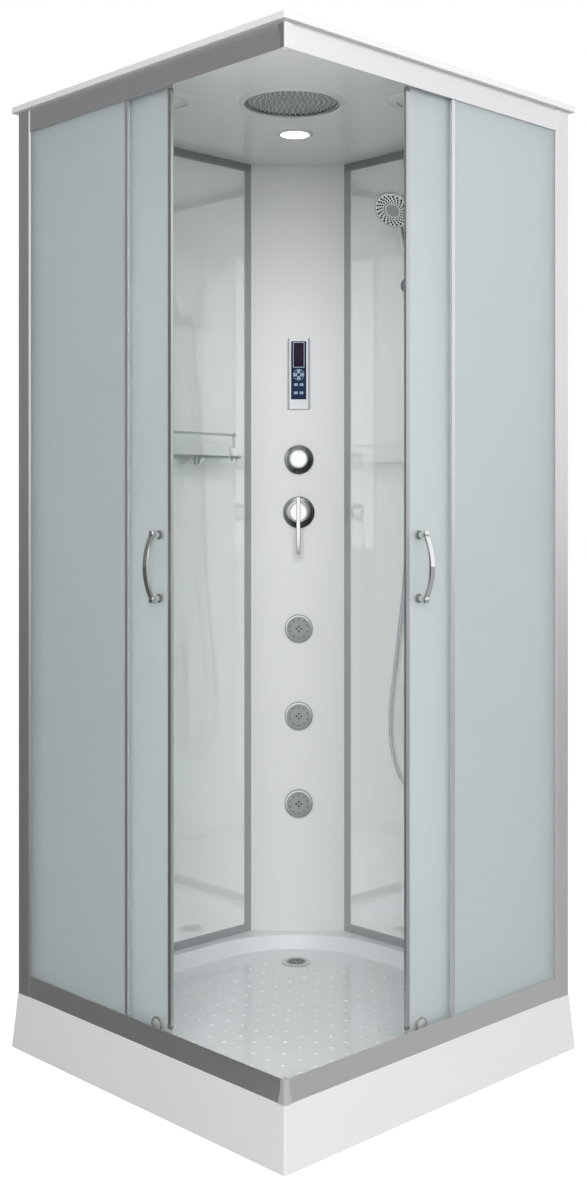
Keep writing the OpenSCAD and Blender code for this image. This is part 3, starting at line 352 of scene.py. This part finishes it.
frosting = {"clear": 0.72, "rough": 0.55, "sheen": 0.08}
paints = {
    # the tray's and the roof's outside colours are painted shade
    "tray": acrylicPaint("trayAcrylic", (0.8, 0.82, 0.83),
                         {"rough": 0.1, "uneven": 0.04, "grain": 0.04, "edge": 0.4385,
                          "outer": (0.69, 0.7, 0.715)}),
    "roof": acrylicPaint("roofAcrylic", (0.83, 0.84, 0.85),
                         {"rough": 0.16, "uneven": 0.05, "grain": 0.05, "edge": 0.4395,
                          "outer": (0.68, 0.69, 0.7)}),
    "trim": coverPaint("trimAcrylic", ((0.2772, 0.1273), (-0.1273, -0.2772)), 0.044,
                       (0.8, 0.81, 0.81), (0.98, 0.95, 0.93)),
    "rail": profilePaint("railAluminium", (0.78, 0.78, 0.79), (6, 6, 300)),
    "post": profilePaint("postAluminium", (0.76, 0.76, 0.775), (300, 300, 6)),
    # the wall frames' darker top band is painted shade
    "wallFrame": wallFrameShadedPaint("wallFrameAluminiumShadedTop", (0.48, 0.5, 0.505), 2.107),
    "door": profilePaint("doorAluminium", (0.55, 0.55, 0.555), (300, 300, 6), 0.34),
    "chrome": chromePaint("chrome", (0.86, 0.87, 0.875)),
    # corner caps: the darker colour at the tray is painted shade
    "corner": cornerShadePaint("cornerChromeShadedLow", (0.9, 0.9, 0.905), (0.53, 0.53, 0.54)),
    "block": plasticPaint("polishedBlock", (0.95, 0.95, 0.95), 0.1, 0.01),
    "bright": chromePaint("polishedChrome", (0.97, 0.97, 0.97), 0.03),
    "darkChrome": chromePaint("darkChrome", (0.4, 0.41, 0.415), 0.12),
    "frosted": frostedPaint("frostedGlass", (0.87, 0.935, 0.94)),
    "wallGlass": mirrorGlassPaint("wallGlass", (0.975, 0.99, 0.99), 0.35),
    "shelfGlass": clearPaint("shelfGlass", (0.8, 0.9, 0.88)),
    "tower": towerPaint("towerSheet", (0.84, 0.835, 0.84)),
    "case": casePaint("silverCase", 0.0285, 0.0042, (0.74, 0.755, 0.77), (0.36, 0.37, 0.38)),
    # the flanges' light and dark are painted reflection
    "flange": leanReflectionPaint("flangeChromePaintedReflection", ((fittings["knob"], 0.0385), (fittings["mixer"], 0.041)),
                          (0.66, 0.66, 0.65), (0.1, 0.1, 0.1)),
    "drain": drainPaint("drainChrome", (-0.23, 0.23), 0.0235, (0.62, 0.63, 0.635), (0.2, 0.205, 0.21)),
    "panel": plasticPaint("navyPanel", (0.012, 0.028, 0.072), 0.2, 0.02, 0.0, 0.1),
    "display": plasticPaint("displayGlass", (0.024, 0.016, 0.034), 0.1, 0.01, 0.0, 0.12),
    "mark": plasticPaint("panelPrint", (0.5, 0.62, 0.78), 0.3, 0.02, 0.0, 0.2),
    "key": plasticPaint("keyPlastic", (0.3, 0.4, 0.55), 0.3, 0.03, 0.0, 0.2),
    "grey": plasticPaint("greyPlastic", (0.27, 0.285, 0.29), 0.34, 0.08),
    "jet": plasticPaint("jetPlastic", (0.36, 0.375, 0.38), 0.34, 0.05),
    # the jet rims' light top and dark bottom are painted reflection
    "jetRim": leanReflectionPaint("jetChromePaintedReflection", ((0.905, 0.036), (0.679, 0.036), (0.452, 0.036)),
                          (0.97, 0.97, 0.97), (0.3, 0.31, 0.31), 0.15, (0.25, -1.0)),
    "cap": plasticPaint("capPlastic", (0.4, 0.42, 0.42), 0.3, 0.05),
    "endCap": plasticPaint("endCapPlastic", (0.17, 0.173, 0.175), 0.45, 0.08),
    "rain": plasticPaint("rainPlate", (0.3, 0.31, 0.31), 0.4, 0.06, 0.2),
    "nub": plasticPaint("paleNozzles", (0.8, 0.81, 0.81), 0.5, 0.04),
    "bump": plasticPaint("bumpAcrylic", (0.84, 0.85, 0.86), 0.14, 0.02),
    "darkNub": plasticPaint("darkNozzles", (0.02, 0.022, 0.024), 0.6, 0.04, 0.0, 0.1),
    "face": plasticPaint("sprayFace", (0.93, 0.935, 0.935), 0.2, 0.03),
    "faceCentre": plasticPaint("sprayCentre", (0.42, 0.43, 0.43), 0.3, 0.03),
    "lamp": glowPaint("lampLens", (1.0, 1.0, 0.98), 4.0),
    "dark": plasticPaint("darkPlastic", (0.035, 0.037, 0.04), 0.5, 0.1),
    "rubber": plasticPaint("blackRubber", (0.02, 0.02, 0.022), 0.75, 0.2),
    "white": plasticPaint("whitePlastic", (0.78, 0.79, 0.78), 0.35, 0.08),
    "steel": profilePaint("zincSteel", (0.5, 0.52, 0.53), (40, 40, 40), 0.42),
    "brass": chromePaint("brass", (0.68, 0.5, 0.24), 0.28),
}

nodePaints = {
    "tray": "tray", "tray_frame": "steel", "tray_feet": "dark", "drain_trap": "white",
    "drain_grate": "drain", "track_rails": "rail", "corner_caps": "corner",
    "side_profiles": "post", "fixed_glasses": "frosted", "wall_glasses": "wallGlass",
    "wall_frames": "wallFrame", "tower_panel": "tower", "control_case": "case",
    "control_screen": "panel", "key_up": "mark", "key_down": "mark", "key_left": "mark",
    "key_right": "mark", "key_power": "key", "key_light": "key", "key_radio": "key",
    "key_fan": "key", "diverter_flange": "flange", "diverter_knob": "chrome",
    "mixer_flange": "flange", "mixer_cartridge": "dark", "mixer_lever": "chrome",
    "jet_rings": "jet", "jet_top": "jet", "jet_middle": "jet", "jet_bottom": "jet",
    "roof": "roof", "rain_head": "rain", "ceiling_trims": "trim", "lamp_lens": "lamp",
    "ceiling_units": "dark", "fan_rotor": "dark", "handset": "chrome", "handset_face": "face",
    "holder_bracket": "chrome", "holder_cradle": "darkChrome", "shower_hose": "chrome",
    "hose_outlet": "chrome", "shelf_glass": "shelfGlass", "shelf_fittings": "chrome",
    "pipework": "brass", "door_glass_left": "frosted", "door_glass_right": "frosted",
    "door_fittings_left": "door", "door_fittings_right": "door",
    "door_handle_left": "chrome", "door_handle_right": "chrome",
}
for name, node in nodes.items():
    paint = paints[nodePaints.get(name, "white")]
    node.data.materials.clear()
    node.data.materials.append(paint.material)
print("CAD nodes painted")


def freshMesh():
    return bmesh.new()


def finishPiece(bm, name, paint, body, sharp=35, place=None, turnNormals=True):
    bmesh.ops.remove_doubles(bm, verts=bm.verts, dist=2e-6)
    if place is not None:
        bmesh.ops.transform(bm, matrix=place, verts=bm.verts)
    if turnNormals:
        bmesh.ops.recalc_face_normals(bm, faces=bm.faces)
    mesh = bpy.data.meshes.new(name)
    bm.to_mesh(mesh)
    bm.free()
    mesh.shade_smooth()
    mesh.set_sharp_from_angle(angle=math.radians(sharp))
    piece = bpy.data.objects.new(name, mesh)
    bpy.context.scene.collection.objects.link(piece)
    mesh.materials.append(paints[paint].material)
    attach(piece, body)
    return piece


def spinProfile(bm, outline, steps=48):
    # outline is pairs of radius and height, turned about Z
    verts = [bm.verts.new((r, 0, z)) for r, z in outline]
    edges = [bm.edges.new(pair) for pair in zip(verts, verts[1:])]
    bmesh.ops.spin(bm, geom=verts + edges, cent=(0, 0, 0), axis=(0, 0, 1), angle=2 * math.pi,
                   steps=steps, use_merge=True)
    bmesh.ops.remove_doubles(bm, verts=bm.verts, dist=1e-6)


def spunPiece(name, outline, paint, body, place, steps=48, sharp=35):
    bm = freshMesh()
    spinProfile(bm, outline, steps)
    return finishPiece(bm, name, paint, body, sharp, place)


def repeatShape(bm, template, places):
    mesh = bpy.data.meshes.new("template")
    template.to_mesh(mesh)
    template.free()
    for place in places:
        before = len(bm.verts)
        bm.from_mesh(mesh)
        bm.verts.ensure_lookup_table()
        bmesh.ops.transform(bm, matrix=place, verts=bm.verts[before:])
    bpy.data.meshes.remove(mesh)


def domeShape(radius, height, sides=10, rings=6):
    template = bmesh.new()
    bmesh.ops.create_uvsphere(template, u_segments=sides, v_segments=rings, radius=1)
    bmesh.ops.bisect_plane(template, geom=template.verts[:] + template.edges[:] + template.faces[:],
                           plane_co=(0, 0, -0.2), plane_no=(0, 0, -1), clear_outer=True)
    bmesh.ops.scale(template, vec=(radius, radius, height), verts=template.verts)
    return template


def blockShape(bm, low, high, bevel=0.0, segments=2):
    made = bmesh.ops.create_cube(bm, size=1)["verts"]
    size = Vector(high) - Vector(low)
    bmesh.ops.scale(bm, vec=size, verts=made)
    bmesh.ops.translate(bm, vec=(Vector(low) + Vector(high)) / 2, verts=made)
    if bevel:
        edges = list({e for v in made for e in v.link_edges})
        bmesh.ops.bevel(bm, geom=edges, offset=bevel, offset_type="OFFSET", segments=segments,
                        profile=0.5, affect="EDGES", material=-1)


# shower hose, along the route of the CAD source, in metres
hose = {
    "route": [(17, 409, 1731), (17, 414, 1718), (16, 417, 1702), (12, 418, 1660),
              (4, 418, 1600), (-8, 417, 1500), (-18, 416, 1380), (-25, 415, 1250), (-29, 414, 1130),
              (-34, 413, 1030), (-46, 412, 940), (-62, 412, 830), (-76, 412, 740), (-80, 412, 667),
              (-72, 412, 607), (-52, 412, 560), (-28, 412, 535), (0, 412, 526), (28, 412, 538),
              (46, 412, 572), (52, 412, 620), (52, 412, 690), (52, 412, 750), (52, 412, 766)],
    "radius": 0.007, "groove": 0.0011, "ribs": 250, "sides": 16, "smoothing": 12,
}


def smoothRoute(points, steps):
    # Catmull-Rom through the points
    ends = [points[0], *points, points[-1]]
    line = []
    for a, b, c, d in zip(ends, ends[1:], ends[2:], ends[3:]):
        for k in range(steps):
            t = k / steps
            line.append(0.5 * (2 * b + (c - a) * t + (2 * a - 5 * b + 4 * c - d) * t * t
                               + (3 * b - a - 3 * c + d) * t ** 3))
    return line + [points[-1]]


def measuredRoute(line):
    walked = [0.0]
    for a, b in zip(line, line[1:]):
        walked.append(walked[-1] + (b - a).length)
    return walked


def pointAlong(line, walked, distance):
    distance = min(max(distance, 0), walked[-1])
    k = next(i for i in range(1, len(walked)) if walked[i] >= distance - 1e-12)
    return line[k - 1].lerp(line[k], (distance - walked[k - 1]) / (walked[k] - walked[k - 1]))


def sweepRings(bm, stations, sides):
    # stations are pairs of a place and a radius; each ring is extruded from the one before
    place, radius = stations[0]
    made = bmesh.ops.create_circle(bm, cap_ends=False, segments=sides, radius=radius, matrix=place)
    ring = made["verts"]
    edges = list({e for v in ring for e in v.link_edges})
    first = edges
    for nextPlace, nextRadius in stations[1:]:
        grown = bmesh.ops.extrude_edge_only(bm, edges=edges)["geom"]
        ring = [g for g in grown if isinstance(g, bmesh.types.BMVert)]
        edges = [g for g in grown if isinstance(g, bmesh.types.BMEdge)]
        change = nextPlace @ Matrix.Scale(nextRadius / radius, 4) @ place.inverted()
        bmesh.ops.transform(bm, matrix=change, verts=ring)
        place, radius = nextPlace, nextRadius
    return first, edges


def ringPlaces(line, walked, distances):
    # every ring is turned the same way round
    places = []
    side = Vector((0, 1, 0.2))
    for d in distances:
        here = pointAlong(line, walked, d)
        ahead = pointAlong(line, walked, d + 0.001) - pointAlong(line, walked, d - 0.001)
        z = ahead.normalized()
        x = z.cross(side).normalized()
        y = z.cross(x)
        turn = Matrix((x, y, z)).transposed().to_4x4()
        places.append(Matrix.Translation(here) @ turn)
    return places


def makeHose():
    line = smoothRoute([Vector(p) / 1000 for p in hose["route"]], hose["smoothing"])
    walked = measuredRoute(line)
    length, straight = walked[-1], 0.012
    pitch = (length - 2 * straight) / hose["ribs"]
    shape = ((0.08, 0), (0.3, 1), (0.7, 1), (0.92, 0))
    steps = [(0, 0)] + [(straight + (k + t) * pitch, rise) for k in range(hose["ribs"])
                        for t, rise in shape] + [(length, 0)]
    places = ringPlaces(line, walked, [d for d, rise in steps])
    radii = [hose["radius"] - hose["groove"] * (1 - rise) for d, rise in steps]
    bm = freshMesh()
    first, last = sweepRings(bm, list(zip(places, radii)), hose["sides"])
    bmesh.ops.contextual_create(bm, geom=first)
    bmesh.ops.contextual_create(bm, geom=last)
    piece = finishPiece(bm, "showerHose", "chrome", "cabin", 60)
    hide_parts("shower_hose")
    piece.parent = None
    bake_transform(piece)
    print("hose", round(length, 3), "m")


makeHose()

# anti-slip bumps of the tray
bumps = {"pitch": 0.046, "first": (0.004, 0.348), "radius": 0.0058, "height": 0.0019, "floor": 0.09,
         "reach": 0.352, "corner": 0.222, "drain": (-0.23, 0.23, 0.052)}


def bumpFits(x, y):
    reach, corner = bumps["reach"], bumps["corner"]
    if abs(x) > reach or abs(y) > reach:
        return False
    dx, dy = -x - (reach - corner), y - (reach - corner)
    if dx > 0 and dy > 0 and math.hypot(dx, dy) > corner:
        return False
    return math.hypot(x - bumps["drain"][0], y - bumps["drain"][1]) > bumps["drain"][2]


def makeBumps():
    bm = freshMesh()
    spots = []
    for i in range(-9, 9):
        for k in range(-1, 17):
            x = bumps["first"][0] + i * bumps["pitch"]
            y = bumps["first"][1] - k * bumps["pitch"]
            if bumpFits(x, y):
                spots.append(Matrix.Translation((x, y, bumps["floor"])))
    repeatShape(bm, domeShape(bumps["radius"], bumps["height"]), spots)
    finishPiece(bm, "trayBumps", "bump", "cabin", 60)


makeBumps()

# nozzles of the rain shower, in rings on its plate
rain = {"place": (0, 0.084, 2.109), "rings": 8, "step": 0.0118, "nozzle": 0.0016, "drop": 0.0032}


def makeRainNozzles():
    bm = freshMesh()
    base = onCeiling(0, rain["place"][1], rain["place"][2]) @ Matrix.Rotation(math.pi, 4, "X")
    spots = []
    for ring in range(1, rain["rings"] + 1):
        for k in range(ring * 6):
            a = 2 * math.pi * k / (ring * 6) + ring * 0.35
            r = ring * rain["step"]
            spots.append(base @ Matrix.Translation((r * math.cos(a), r * math.sin(a), 0)))
    repeatShape(bm, domeShape(rain["nozzle"], rain["drop"], 8, 6), spots)
    finishPiece(bm, "rainNozzles", "nub", "cabin", 60)
    spunPiece("rainRim", [(0.0985, 0.0), (0.1045, 0.0), (0.1045, -0.0032), (0.1035, -0.0045),
                          (0.0995, -0.0045), (0.0985, -0.0032), (0.0985, 0.0)],
              "darkChrome", "cabin", base @ Matrix.Rotation(math.pi, 4, "X"), 96)


makeRainNozzles()

# spray face of the hand shower
handset = {"x": 0.017, "y": 0.395, "z": 1.768, "lean": 21, "turn": 12, "up": 0.181,
           "forward": 0.0226, "tilt": 20.7}
spray = {"rings": 4, "rows": 22, "first": 0.0215, "step": 0.0058, "nozzle": 0.0027, "swirl": 0.09}


def onHandset():
    return (Matrix.Translation((handset["x"], handset["y"], handset["z"]))
            @ Matrix.Rotation(math.radians(handset["lean"]), 4, "X")
            @ Matrix.Rotation(math.radians(handset["turn"]), 4, "Z"))


def onSprayFace():
    return (onHandset() @ Matrix.Translation((0, -handset["forward"], handset["up"]))
            @ Matrix.Rotation(math.radians(90 + handset["tilt"]), 4, "X"))


def makeSprayFace():
    bm = freshMesh()
    spots = []
    for ring in range(spray["rings"]):
        radius = spray["first"] + ring * spray["step"]
        size = spray["nozzle"] * (0.8 + 0.12 * ring)
        for k in range(spray["rows"]):
            a = 2 * math.pi * k / spray["rows"] + ring * spray["swirl"]
            spots.append(onSprayFace() @ Matrix.Rotation(a, 4, "Z")
                         @ Matrix.Translation((radius, 0, 0.0002))
                         @ Matrix.Diagonal((size * 1.15, size * 0.85, 1, 1)))
    repeatShape(bm, domeShape(1, 0.0026, 10, 6), spots)
    finishPiece(bm, "sprayNozzles", "darkNub", "handset", 60)
    spunPiece("sprayCentre", [(0, 0.0012), (0.0155, 0.0012), (0.0166, 0.0005), (0.017, 0.0004)],
              "faceCentre", "handset", onSprayFace(), 64)
    spunPiece("sprayRim", [(0.0443, 0.0006), (0.0447, 0.0014), (0.0462, 0.0016), (0.0474, 0.0004),
                           (0.0476, -0.002), (0.0478, -0.006), (0.047, -0.0075)],
              "chrome", "handset", onSprayFace(), 96)


makeSprayFace()

# body jets: a rim with a painted highlight along its top and painted dark reflection below, a dark edge and
# a ribbed face with nozzles
jets = {"top": 0.905, "middle": 0.679, "bottom": 0.452}


def makeJets():
    for name, z in jets.items():
        place = onTower(0, z, 0)
        spunPiece("jetRim_" + name,
                  [(0.0308, 0.006), (0.0312, 0.0068), (0.0322, 0.0072), (0.0335, 0.0072),
                   (0.0345, 0.0066), (0.0347, 0.006)],
                  "jetRim", "cabin", place, 72)
        spunPiece("jetEdge_" + name,
                  [(0.0347, 0.0061), (0.0358, 0.0063), (0.0363, 0.005), (0.0364, 0.0002)],
                  "grey", "cabin", place, 72)
        outline = [(0, 0.0082), (0.0105, 0.0082), (0.0109, 0.0074), (0.0117, 0.0074), (0.0121, 0.0082),
                   (0.0195, 0.0082), (0.02, 0.0074), (0.0208, 0.0074), (0.0213, 0.0082),
                   (0.0255, 0.0081), (0.0268, 0.007), (0.027, 0.006)]
        spunPiece("jetFace_" + name, outline, "jet", "jet_" + name, place, 72)
        bm = freshMesh()
        spots = []
        for radius, count, size in ((0.0058, 4, 0.0023), (0.0235, 10, 0.0017)):
            for k in range(count):
                a = 2 * math.pi * (k + 0.5 * (count > 4)) / count
                spots.append(place @ Matrix.Translation((radius * math.cos(a), radius * math.sin(a), 0.0081))
                             @ Matrix.Diagonal((size, size, 1, 1)))
        repeatShape(bm, domeShape(1, 0.0012, 8, 6), spots)
        finishPiece(bm, "jetNozzles_" + name, "darkNub", "jet_" + name, 60)


makeJets()

# polished tops of the diverter's knob and of the mixer's cap
def makeTops():
    spunPiece("knobTop", [(0, 0.0431), (0.0202, 0.0431), (0.0214, 0.0427), (0.0219, 0.0418)],
              "bright", "diverter_knob", onTower(0, fittings["knob"], 0), 72, 8)
    spunPiece("mixerTop", [(0, 0.0465), (0.0208, 0.0465), (0.0224, 0.0461), (0.0232, 0.045)],
              "bright", "mixer_lever", onTower(0, fittings["mixer"], 0), 72, 8)
    bm = freshMesh()
    blockShape(bm, (-0.0034, -0.1062, 0.0518), (0.0034, 0.0384, 0.0523), 0.0002)
    finishPiece(bm, "leverTop", "bright", "mixer_lever", 8, onTower(0, fittings["mixer"], 0))
    # painted reflection: grey strips along the lever's sides stand in for the dark edges of the chrome lever
    for name, x in (("left", -0.0044), ("right", 0.0044)):
        bm = freshMesh()
        blockShape(bm, (x - 0.0007, -0.1066, 0.0517), (x + 0.0007, 0.0386, 0.0521), 0.0002)
        finishPiece(bm, "leverSide_" + name, "grey", "mixer_lever", 8,
                    onTower(0, fittings["mixer"], 0))


makeTops()

# shelf blocks, door end pieces, roller caps and the handles' ends
doorParts = {"out": 0.425, "lead": 0.095, "caps": (0.049, -0.335), "capHeight": 0.17,
             "ends": (0.171, 2.056), "endHeight": 0.0075, "handle": 0.054, "feet": (1.033, 1.161)}


def makeDoorParts():
    for side, turn in (("left", Matrix.Identity(4)), ("right", swapSides)):
        body = "door_" + side
        out, lead = doorParts["out"], doorParts["lead"]
        for name, z, up in (("low", doorParts["ends"][0], 1), ("high", doorParts["ends"][1], -1)):
            bm = freshMesh()
            z0, z1 = sorted((z, z + up * doorParts["endHeight"]))
            blockShape(bm, (lead - 0.0105, -out - 0.0032, z0), (lead + 0.0003, -out + 0.0026, z1), 0.0004)
            finishPiece(bm, "profileEnd_" + side + "_" + name, "endCap", body, 35, turn)
        for name, x in (("front", doorParts["caps"][0]), ("back", doorParts["caps"][1])):
            place = turn @ Matrix.Translation((x, -out - 0.004, doorParts["capHeight"]))
            spunPiece("capFace_" + side + "_" + name,
                      [(0, 0.0007), (0.0118, 0.0007), (0.0126, 0.0002), (0.0127, -0.0004)],
                      "cap", body, place @ Matrix.Rotation(math.pi / 2, 4, "X"), 48)
        for name, z, up in (("low", doorParts["feet"][0], -1), ("high", doorParts["feet"][1], 1)):
            x = doorParts["handle"]
            place = turn @ Matrix.Translation((x, -out, z)) @ Matrix.Rotation(math.pi / 2, 4, "X")
            spunPiece("handleSeat_" + side + "_" + name,
                      [(0.0062, 0.0022), (0.0089, 0.0022), (0.0092, 0.0016), (0.0092, 0.0002)],
                      "endCap", body, place, 48)
            bm = freshMesh()
            blockShape(bm, (x - 0.0066, -out - 0.0235, z - 0.0072 + up * 0.0022),
                       (x + 0.0066, -out - 0.0125, z + 0.0072 + up * 0.0022), 0.003, 4)
            finishPiece(bm, "handleEnd_" + side + "_" + name, "chrome", body, 35, turn)


makeDoorParts()


def makeShelfBlocks():
    bm = freshMesh()
    for y in (0.121, -0.181):
        blockShape(bm, (-0.3485, y - 0.0085, 1.3455), (-0.3315, y + 0.0085, 1.3665), 0.0012)
    finishPiece(bm, "shelfBlocks", "block", "cabin", 35)
    bm = freshMesh()
    for y in (0.121, -0.181):
        bmesh.ops.create_uvsphere(bm, u_segments=24, v_segments=16, radius=0.0062,
                                  matrix=Matrix.Translation((-0.34, y, 1.398)))
    finishPiece(bm, "shelfElbows", "chrome", "cabin", 60)


makeShelfBlocks()

# control panel: the display's border, its glass and the signs on the keys
panel = {"display": (0.028, 0.064), "displayUp": 0.0485, "front": 0.0086, "keyTop": 0.0094}


def flatShape(bm, points, place, thick=0.0003):
    verts = [bm.verts.new((x, y, 0)) for x, y in points]
    face = bm.faces.new(verts)
    grown = bmesh.ops.extrude_face_region(bm, geom=[face])["geom"]
    tops = [g for g in grown if isinstance(g, bmesh.types.BMVert)]
    bmesh.ops.translate(bm, vec=(0, 0, thick), verts=tops)
    bmesh.ops.transform(bm, matrix=place, verts=verts + tops)


def barShape(bm, a, b, width, place, thick=0.0003):
    a, b = Vector((*a, 0)), Vector((*b, 0))
    along = (b - a).normalized() * width / 2
    across = Vector((-along.y, along.x, 0))
    flatShape(bm, [(p.x, p.y) for p in (a - across, b - across, b + across, a + across)], place, thick)


def ringShape(bm, radius, width, place, start=0, sweep=360, steps=24, thick=0.0003):
    angles = [math.radians(start + sweep * k / steps) for k in range(steps + 1)]
    for a, b in zip(angles, angles[1:]):
        flatShape(bm, [((radius + s * width / 2) * math.cos(t), (radius + s * width / 2) * math.sin(t))
                       for s, t in ((-1, a), (1, a), (1, b), (-1, b))], place, thick)


def makePanel():
    mid = fittings["panel"]
    w, h = panel["display"][0] / 2, panel["display"][1] / 2
    up = mid + panel["displayUp"]
    glass = onTower(0, up, panel["front"] - 0.0003)
    bm = freshMesh()
    blockShape(bm, (-w + 0.0002, -h + 0.0002, -0.0001), (w - 0.0002, h - 0.0002, 0.0004), 0.0002)
    finishPiece(bm, "displayGlass", "display", "cabin", 35, glass)
    bm = freshMesh()
    front = onTower(0, up, panel["front"])
    for a, b in (((-w, -h), (w, -h)), ((w, -h), (w, h)), ((w, h), (-w, h)), ((-w, h), (-w, -h))):
        barShape(bm, a, b, 0.0014, front, 0.0004)
    ringShape(bm, 0.0138, 0.0009, onTower(0, mid - 0.0025, panel["front"]), steps=48)
    finishPiece(bm, "panelLines", "mark", "cabin", 35)
    tops = {"up": (0, 0.0057, 90), "down": (0, -0.0107, -90), "left": (-0.0082, -0.0025, 180),
            "right": (0.0082, -0.0025, 0)}
    for name, (x, y, turn) in tops.items():
        bm = freshMesh()
        place = onTower(x, mid + y, panel["keyTop"]) @ Matrix.Rotation(math.radians(turn), 4, "Z")
        flatShape(bm, [(-0.0012, -0.002), (0.0022, 0), (-0.0012, 0.002)], place)
        finishPiece(bm, "arrow_" + name, "panel", "key_" + name, 35)
    spots = {"power": (-0.0073, -0.0285), "light": (0.0073, -0.0285),
             "radio": (-0.0073, -0.0495), "fan": (0.0073, -0.0495)}
    for name, (x, y) in spots.items():
        place = onTower(x, mid + y, panel["keyTop"])
        bm = freshMesh()
        for a, b in (((-0.0042, -0.0027), (0.0042, -0.0027)), ((0.0042, -0.0027), (0.0042, 0.0027)),
                     ((0.0042, 0.0027), (-0.0042, 0.0027)), ((-0.0042, 0.0027), (-0.0042, -0.0027))):
            barShape(bm, a, b, 0.0009, place)
        if name == "power":
            ringShape(bm, 0.0015, 0.0005, place, 120, 300, 14)
            barShape(bm, (0, 0.0004), (0, 0.0021), 0.0005, place)
        elif name == "light":
            ringShape(bm, 0.0012, 0.0005, place, 0, 360, 14)
            for k in range(8):
                a = math.pi * k / 4
                barShape(bm, (0.0017 * math.cos(a), 0.0017 * math.sin(a)),
                         (0.0024 * math.cos(a), 0.0024 * math.sin(a)), 0.0004, place)
        elif name == "radio":
            for k in (1, 2, 3):
                ringShape(bm, 0.0007 * k, 0.0004, place, -50, 100, 6)
            flatShape(bm, [(-0.0022, -0.0007), (-0.0012, -0.0007), (-0.0003, -0.0016),
                           (-0.0003, 0.0016), (-0.0012, 0.0007), (-0.0022, 0.0007)], place)
        else:
            for k in range(4):
                blade = place @ Matrix.Rotation(math.pi * k / 2, 4, "Z")
                flatShape(bm, [(0.0002, 0), (0.0016, 0.0001), (0.0021, 0.0009), (0.0012, 0.0012)], blade)
        finishPiece(bm, "sign_" + name, "mark", "key_" + name, 35)


makePanel()
print("pieces made")

# floor, backdrop and light
studio = {"floor": 60, "fill": 0.7, "white": 1.0, "later": 0.78, "dark": 0.18, "dim": 0.4,
          "turn": (-0.95, -0.1), "floorWhite": 0.5, "floorGrey": 0.42, "floorDark": 0.1,
          "floorTurn": (-0.6, 0.4)}


def makeFloor():
    bm = freshMesh()
    bmesh.ops.create_grid(bm, x_segments=2, y_segments=2, size=studio["floor"] / 2)
    mesh = bpy.data.meshes.new("floor")
    bm.to_mesh(mesh)
    bm.free()
    floor = bpy.data.objects.new("floor", mesh)
    bpy.context.scene.collection.objects.link(floor)
    paint = Paint("studioFloor", BaseColor=(0.86, 0.86, 0.86), Roughness=0.9)
    output = paint.tree.nodes["Material Output"]
    path = paint.node("ShaderNodeLightPath")
    straight = Wire(paint, path.outputs["Is Camera Ray"]).maths(
        "MAXIMUM", Wire(paint, path.outputs["Is Camera Ray"]),
        Wire(paint, path.outputs["Is Transmission Ray"]))
    x, y, z = paint.parts()
    level = ((x + y) * half).spread(*studio["floorTurn"], studio["floorDark"], studio["floorGrey"])
    white = paint.node("ShaderNodeEmission", {}, {"Color": (1, 1, 1), "Strength": studio["floorWhite"]})
    grey = paint.node("ShaderNodeEmission", {}, {"Color": (1, 1, 1), "Strength": level})
    added = paint.node("ShaderNodeAddShader")
    paint.tree.links.new(paint.shader.outputs[0], added.inputs[0])
    paint.tree.links.new(white.outputs[0], added.inputs[1])
    first = paint.node("ShaderNodeMixShader", {}, {0: straight})
    paint.tree.links.new(paint.shader.outputs[0], first.inputs[1])
    paint.tree.links.new(added.outputs[0], first.inputs[2])
    second = paint.node("ShaderNodeMixShader", {}, {0: Wire(paint, path.outputs["Is Glossy Ray"])})
    paint.tree.links.new(first.outputs[0], second.inputs[1])
    paint.tree.links.new(grey.outputs[0], second.inputs[2])
    paint.tree.links.new(second.outputs[0], output.inputs[0])
    mesh.materials.append(paint.material)


def makeWorld():
    # pale all round, greyer towards the left of the cabin
    world = bpy.data.worlds.new("studio")
    bpy.context.scene.world = world
    world.use_nodes = True
    paint = Paint.__new__(Paint)
    paint.tree = world.node_tree
    back = paint.tree.nodes["Background"]
    path = paint.node("ShaderNodeLightPath")
    where = paint.node("ShaderNodeTexCoord")
    x, y, z = paint.parts(Wire(paint, where.outputs["Generated"]))
    glossy = Wire(paint, path.outputs["Is Glossy Ray"])
    side = ((x + y) * half).spread(*studio["turn"])
    lowest = studio["dim"] + glossy * (studio["dark"] - studio["dim"])
    # a reflection seen in another reflection meets a dimmer backdrop
    later = Wire(paint, path.outputs["Glossy Depth"]) > 1.5
    shine = studio["white"] - later * (studio["white"] - studio["later"])
    fill = (lowest + side * (1.0 - lowest)) * (studio["fill"] + glossy * (shine - studio["fill"]))
    straight = glossy.maths("MAXIMUM", Wire(paint, path.outputs["Is Camera Ray"]),
                            Wire(paint, path.outputs["Is Transmission Ray"]))
    paint.join(fill + straight * (studio["white"] - fill), back.inputs["Strength"])
    back.inputs["Color"].default_value = (1, 1, 1, 1)


def makeLamp(name, place, aim, size, power, shows=True):
    data = bpy.data.lights.new(name, "AREA")
    data.shape = "RECTANGLE"
    data.size, data.size_y = size
    data.energy = power
    lamp = bpy.data.objects.new(name, data)
    lamp.location = place
    lamp.visible_glossy = shows
    lamp.visible_transmission = shows
    lamp.rotation_euler = (Vector(aim) - Vector(place)).to_track_quat("-Z", "Y").to_euler()
    bpy.context.scene.collection.objects.link(lamp)


makeFloor()
makeWorld()
makeLamp("keyLight", (2.5, 0.35, 2.1), (0.3, 0, 1.6), (1.2, 1.2), 8)
makeLamp("frontLight", (3.4, -3.2, 2.7), (-0.2, 0.2, 1.1), (2.6, 2.2), 150, False)
bpy.context.scene.view_settings.view_transform = "Standard"
print("studio lit")
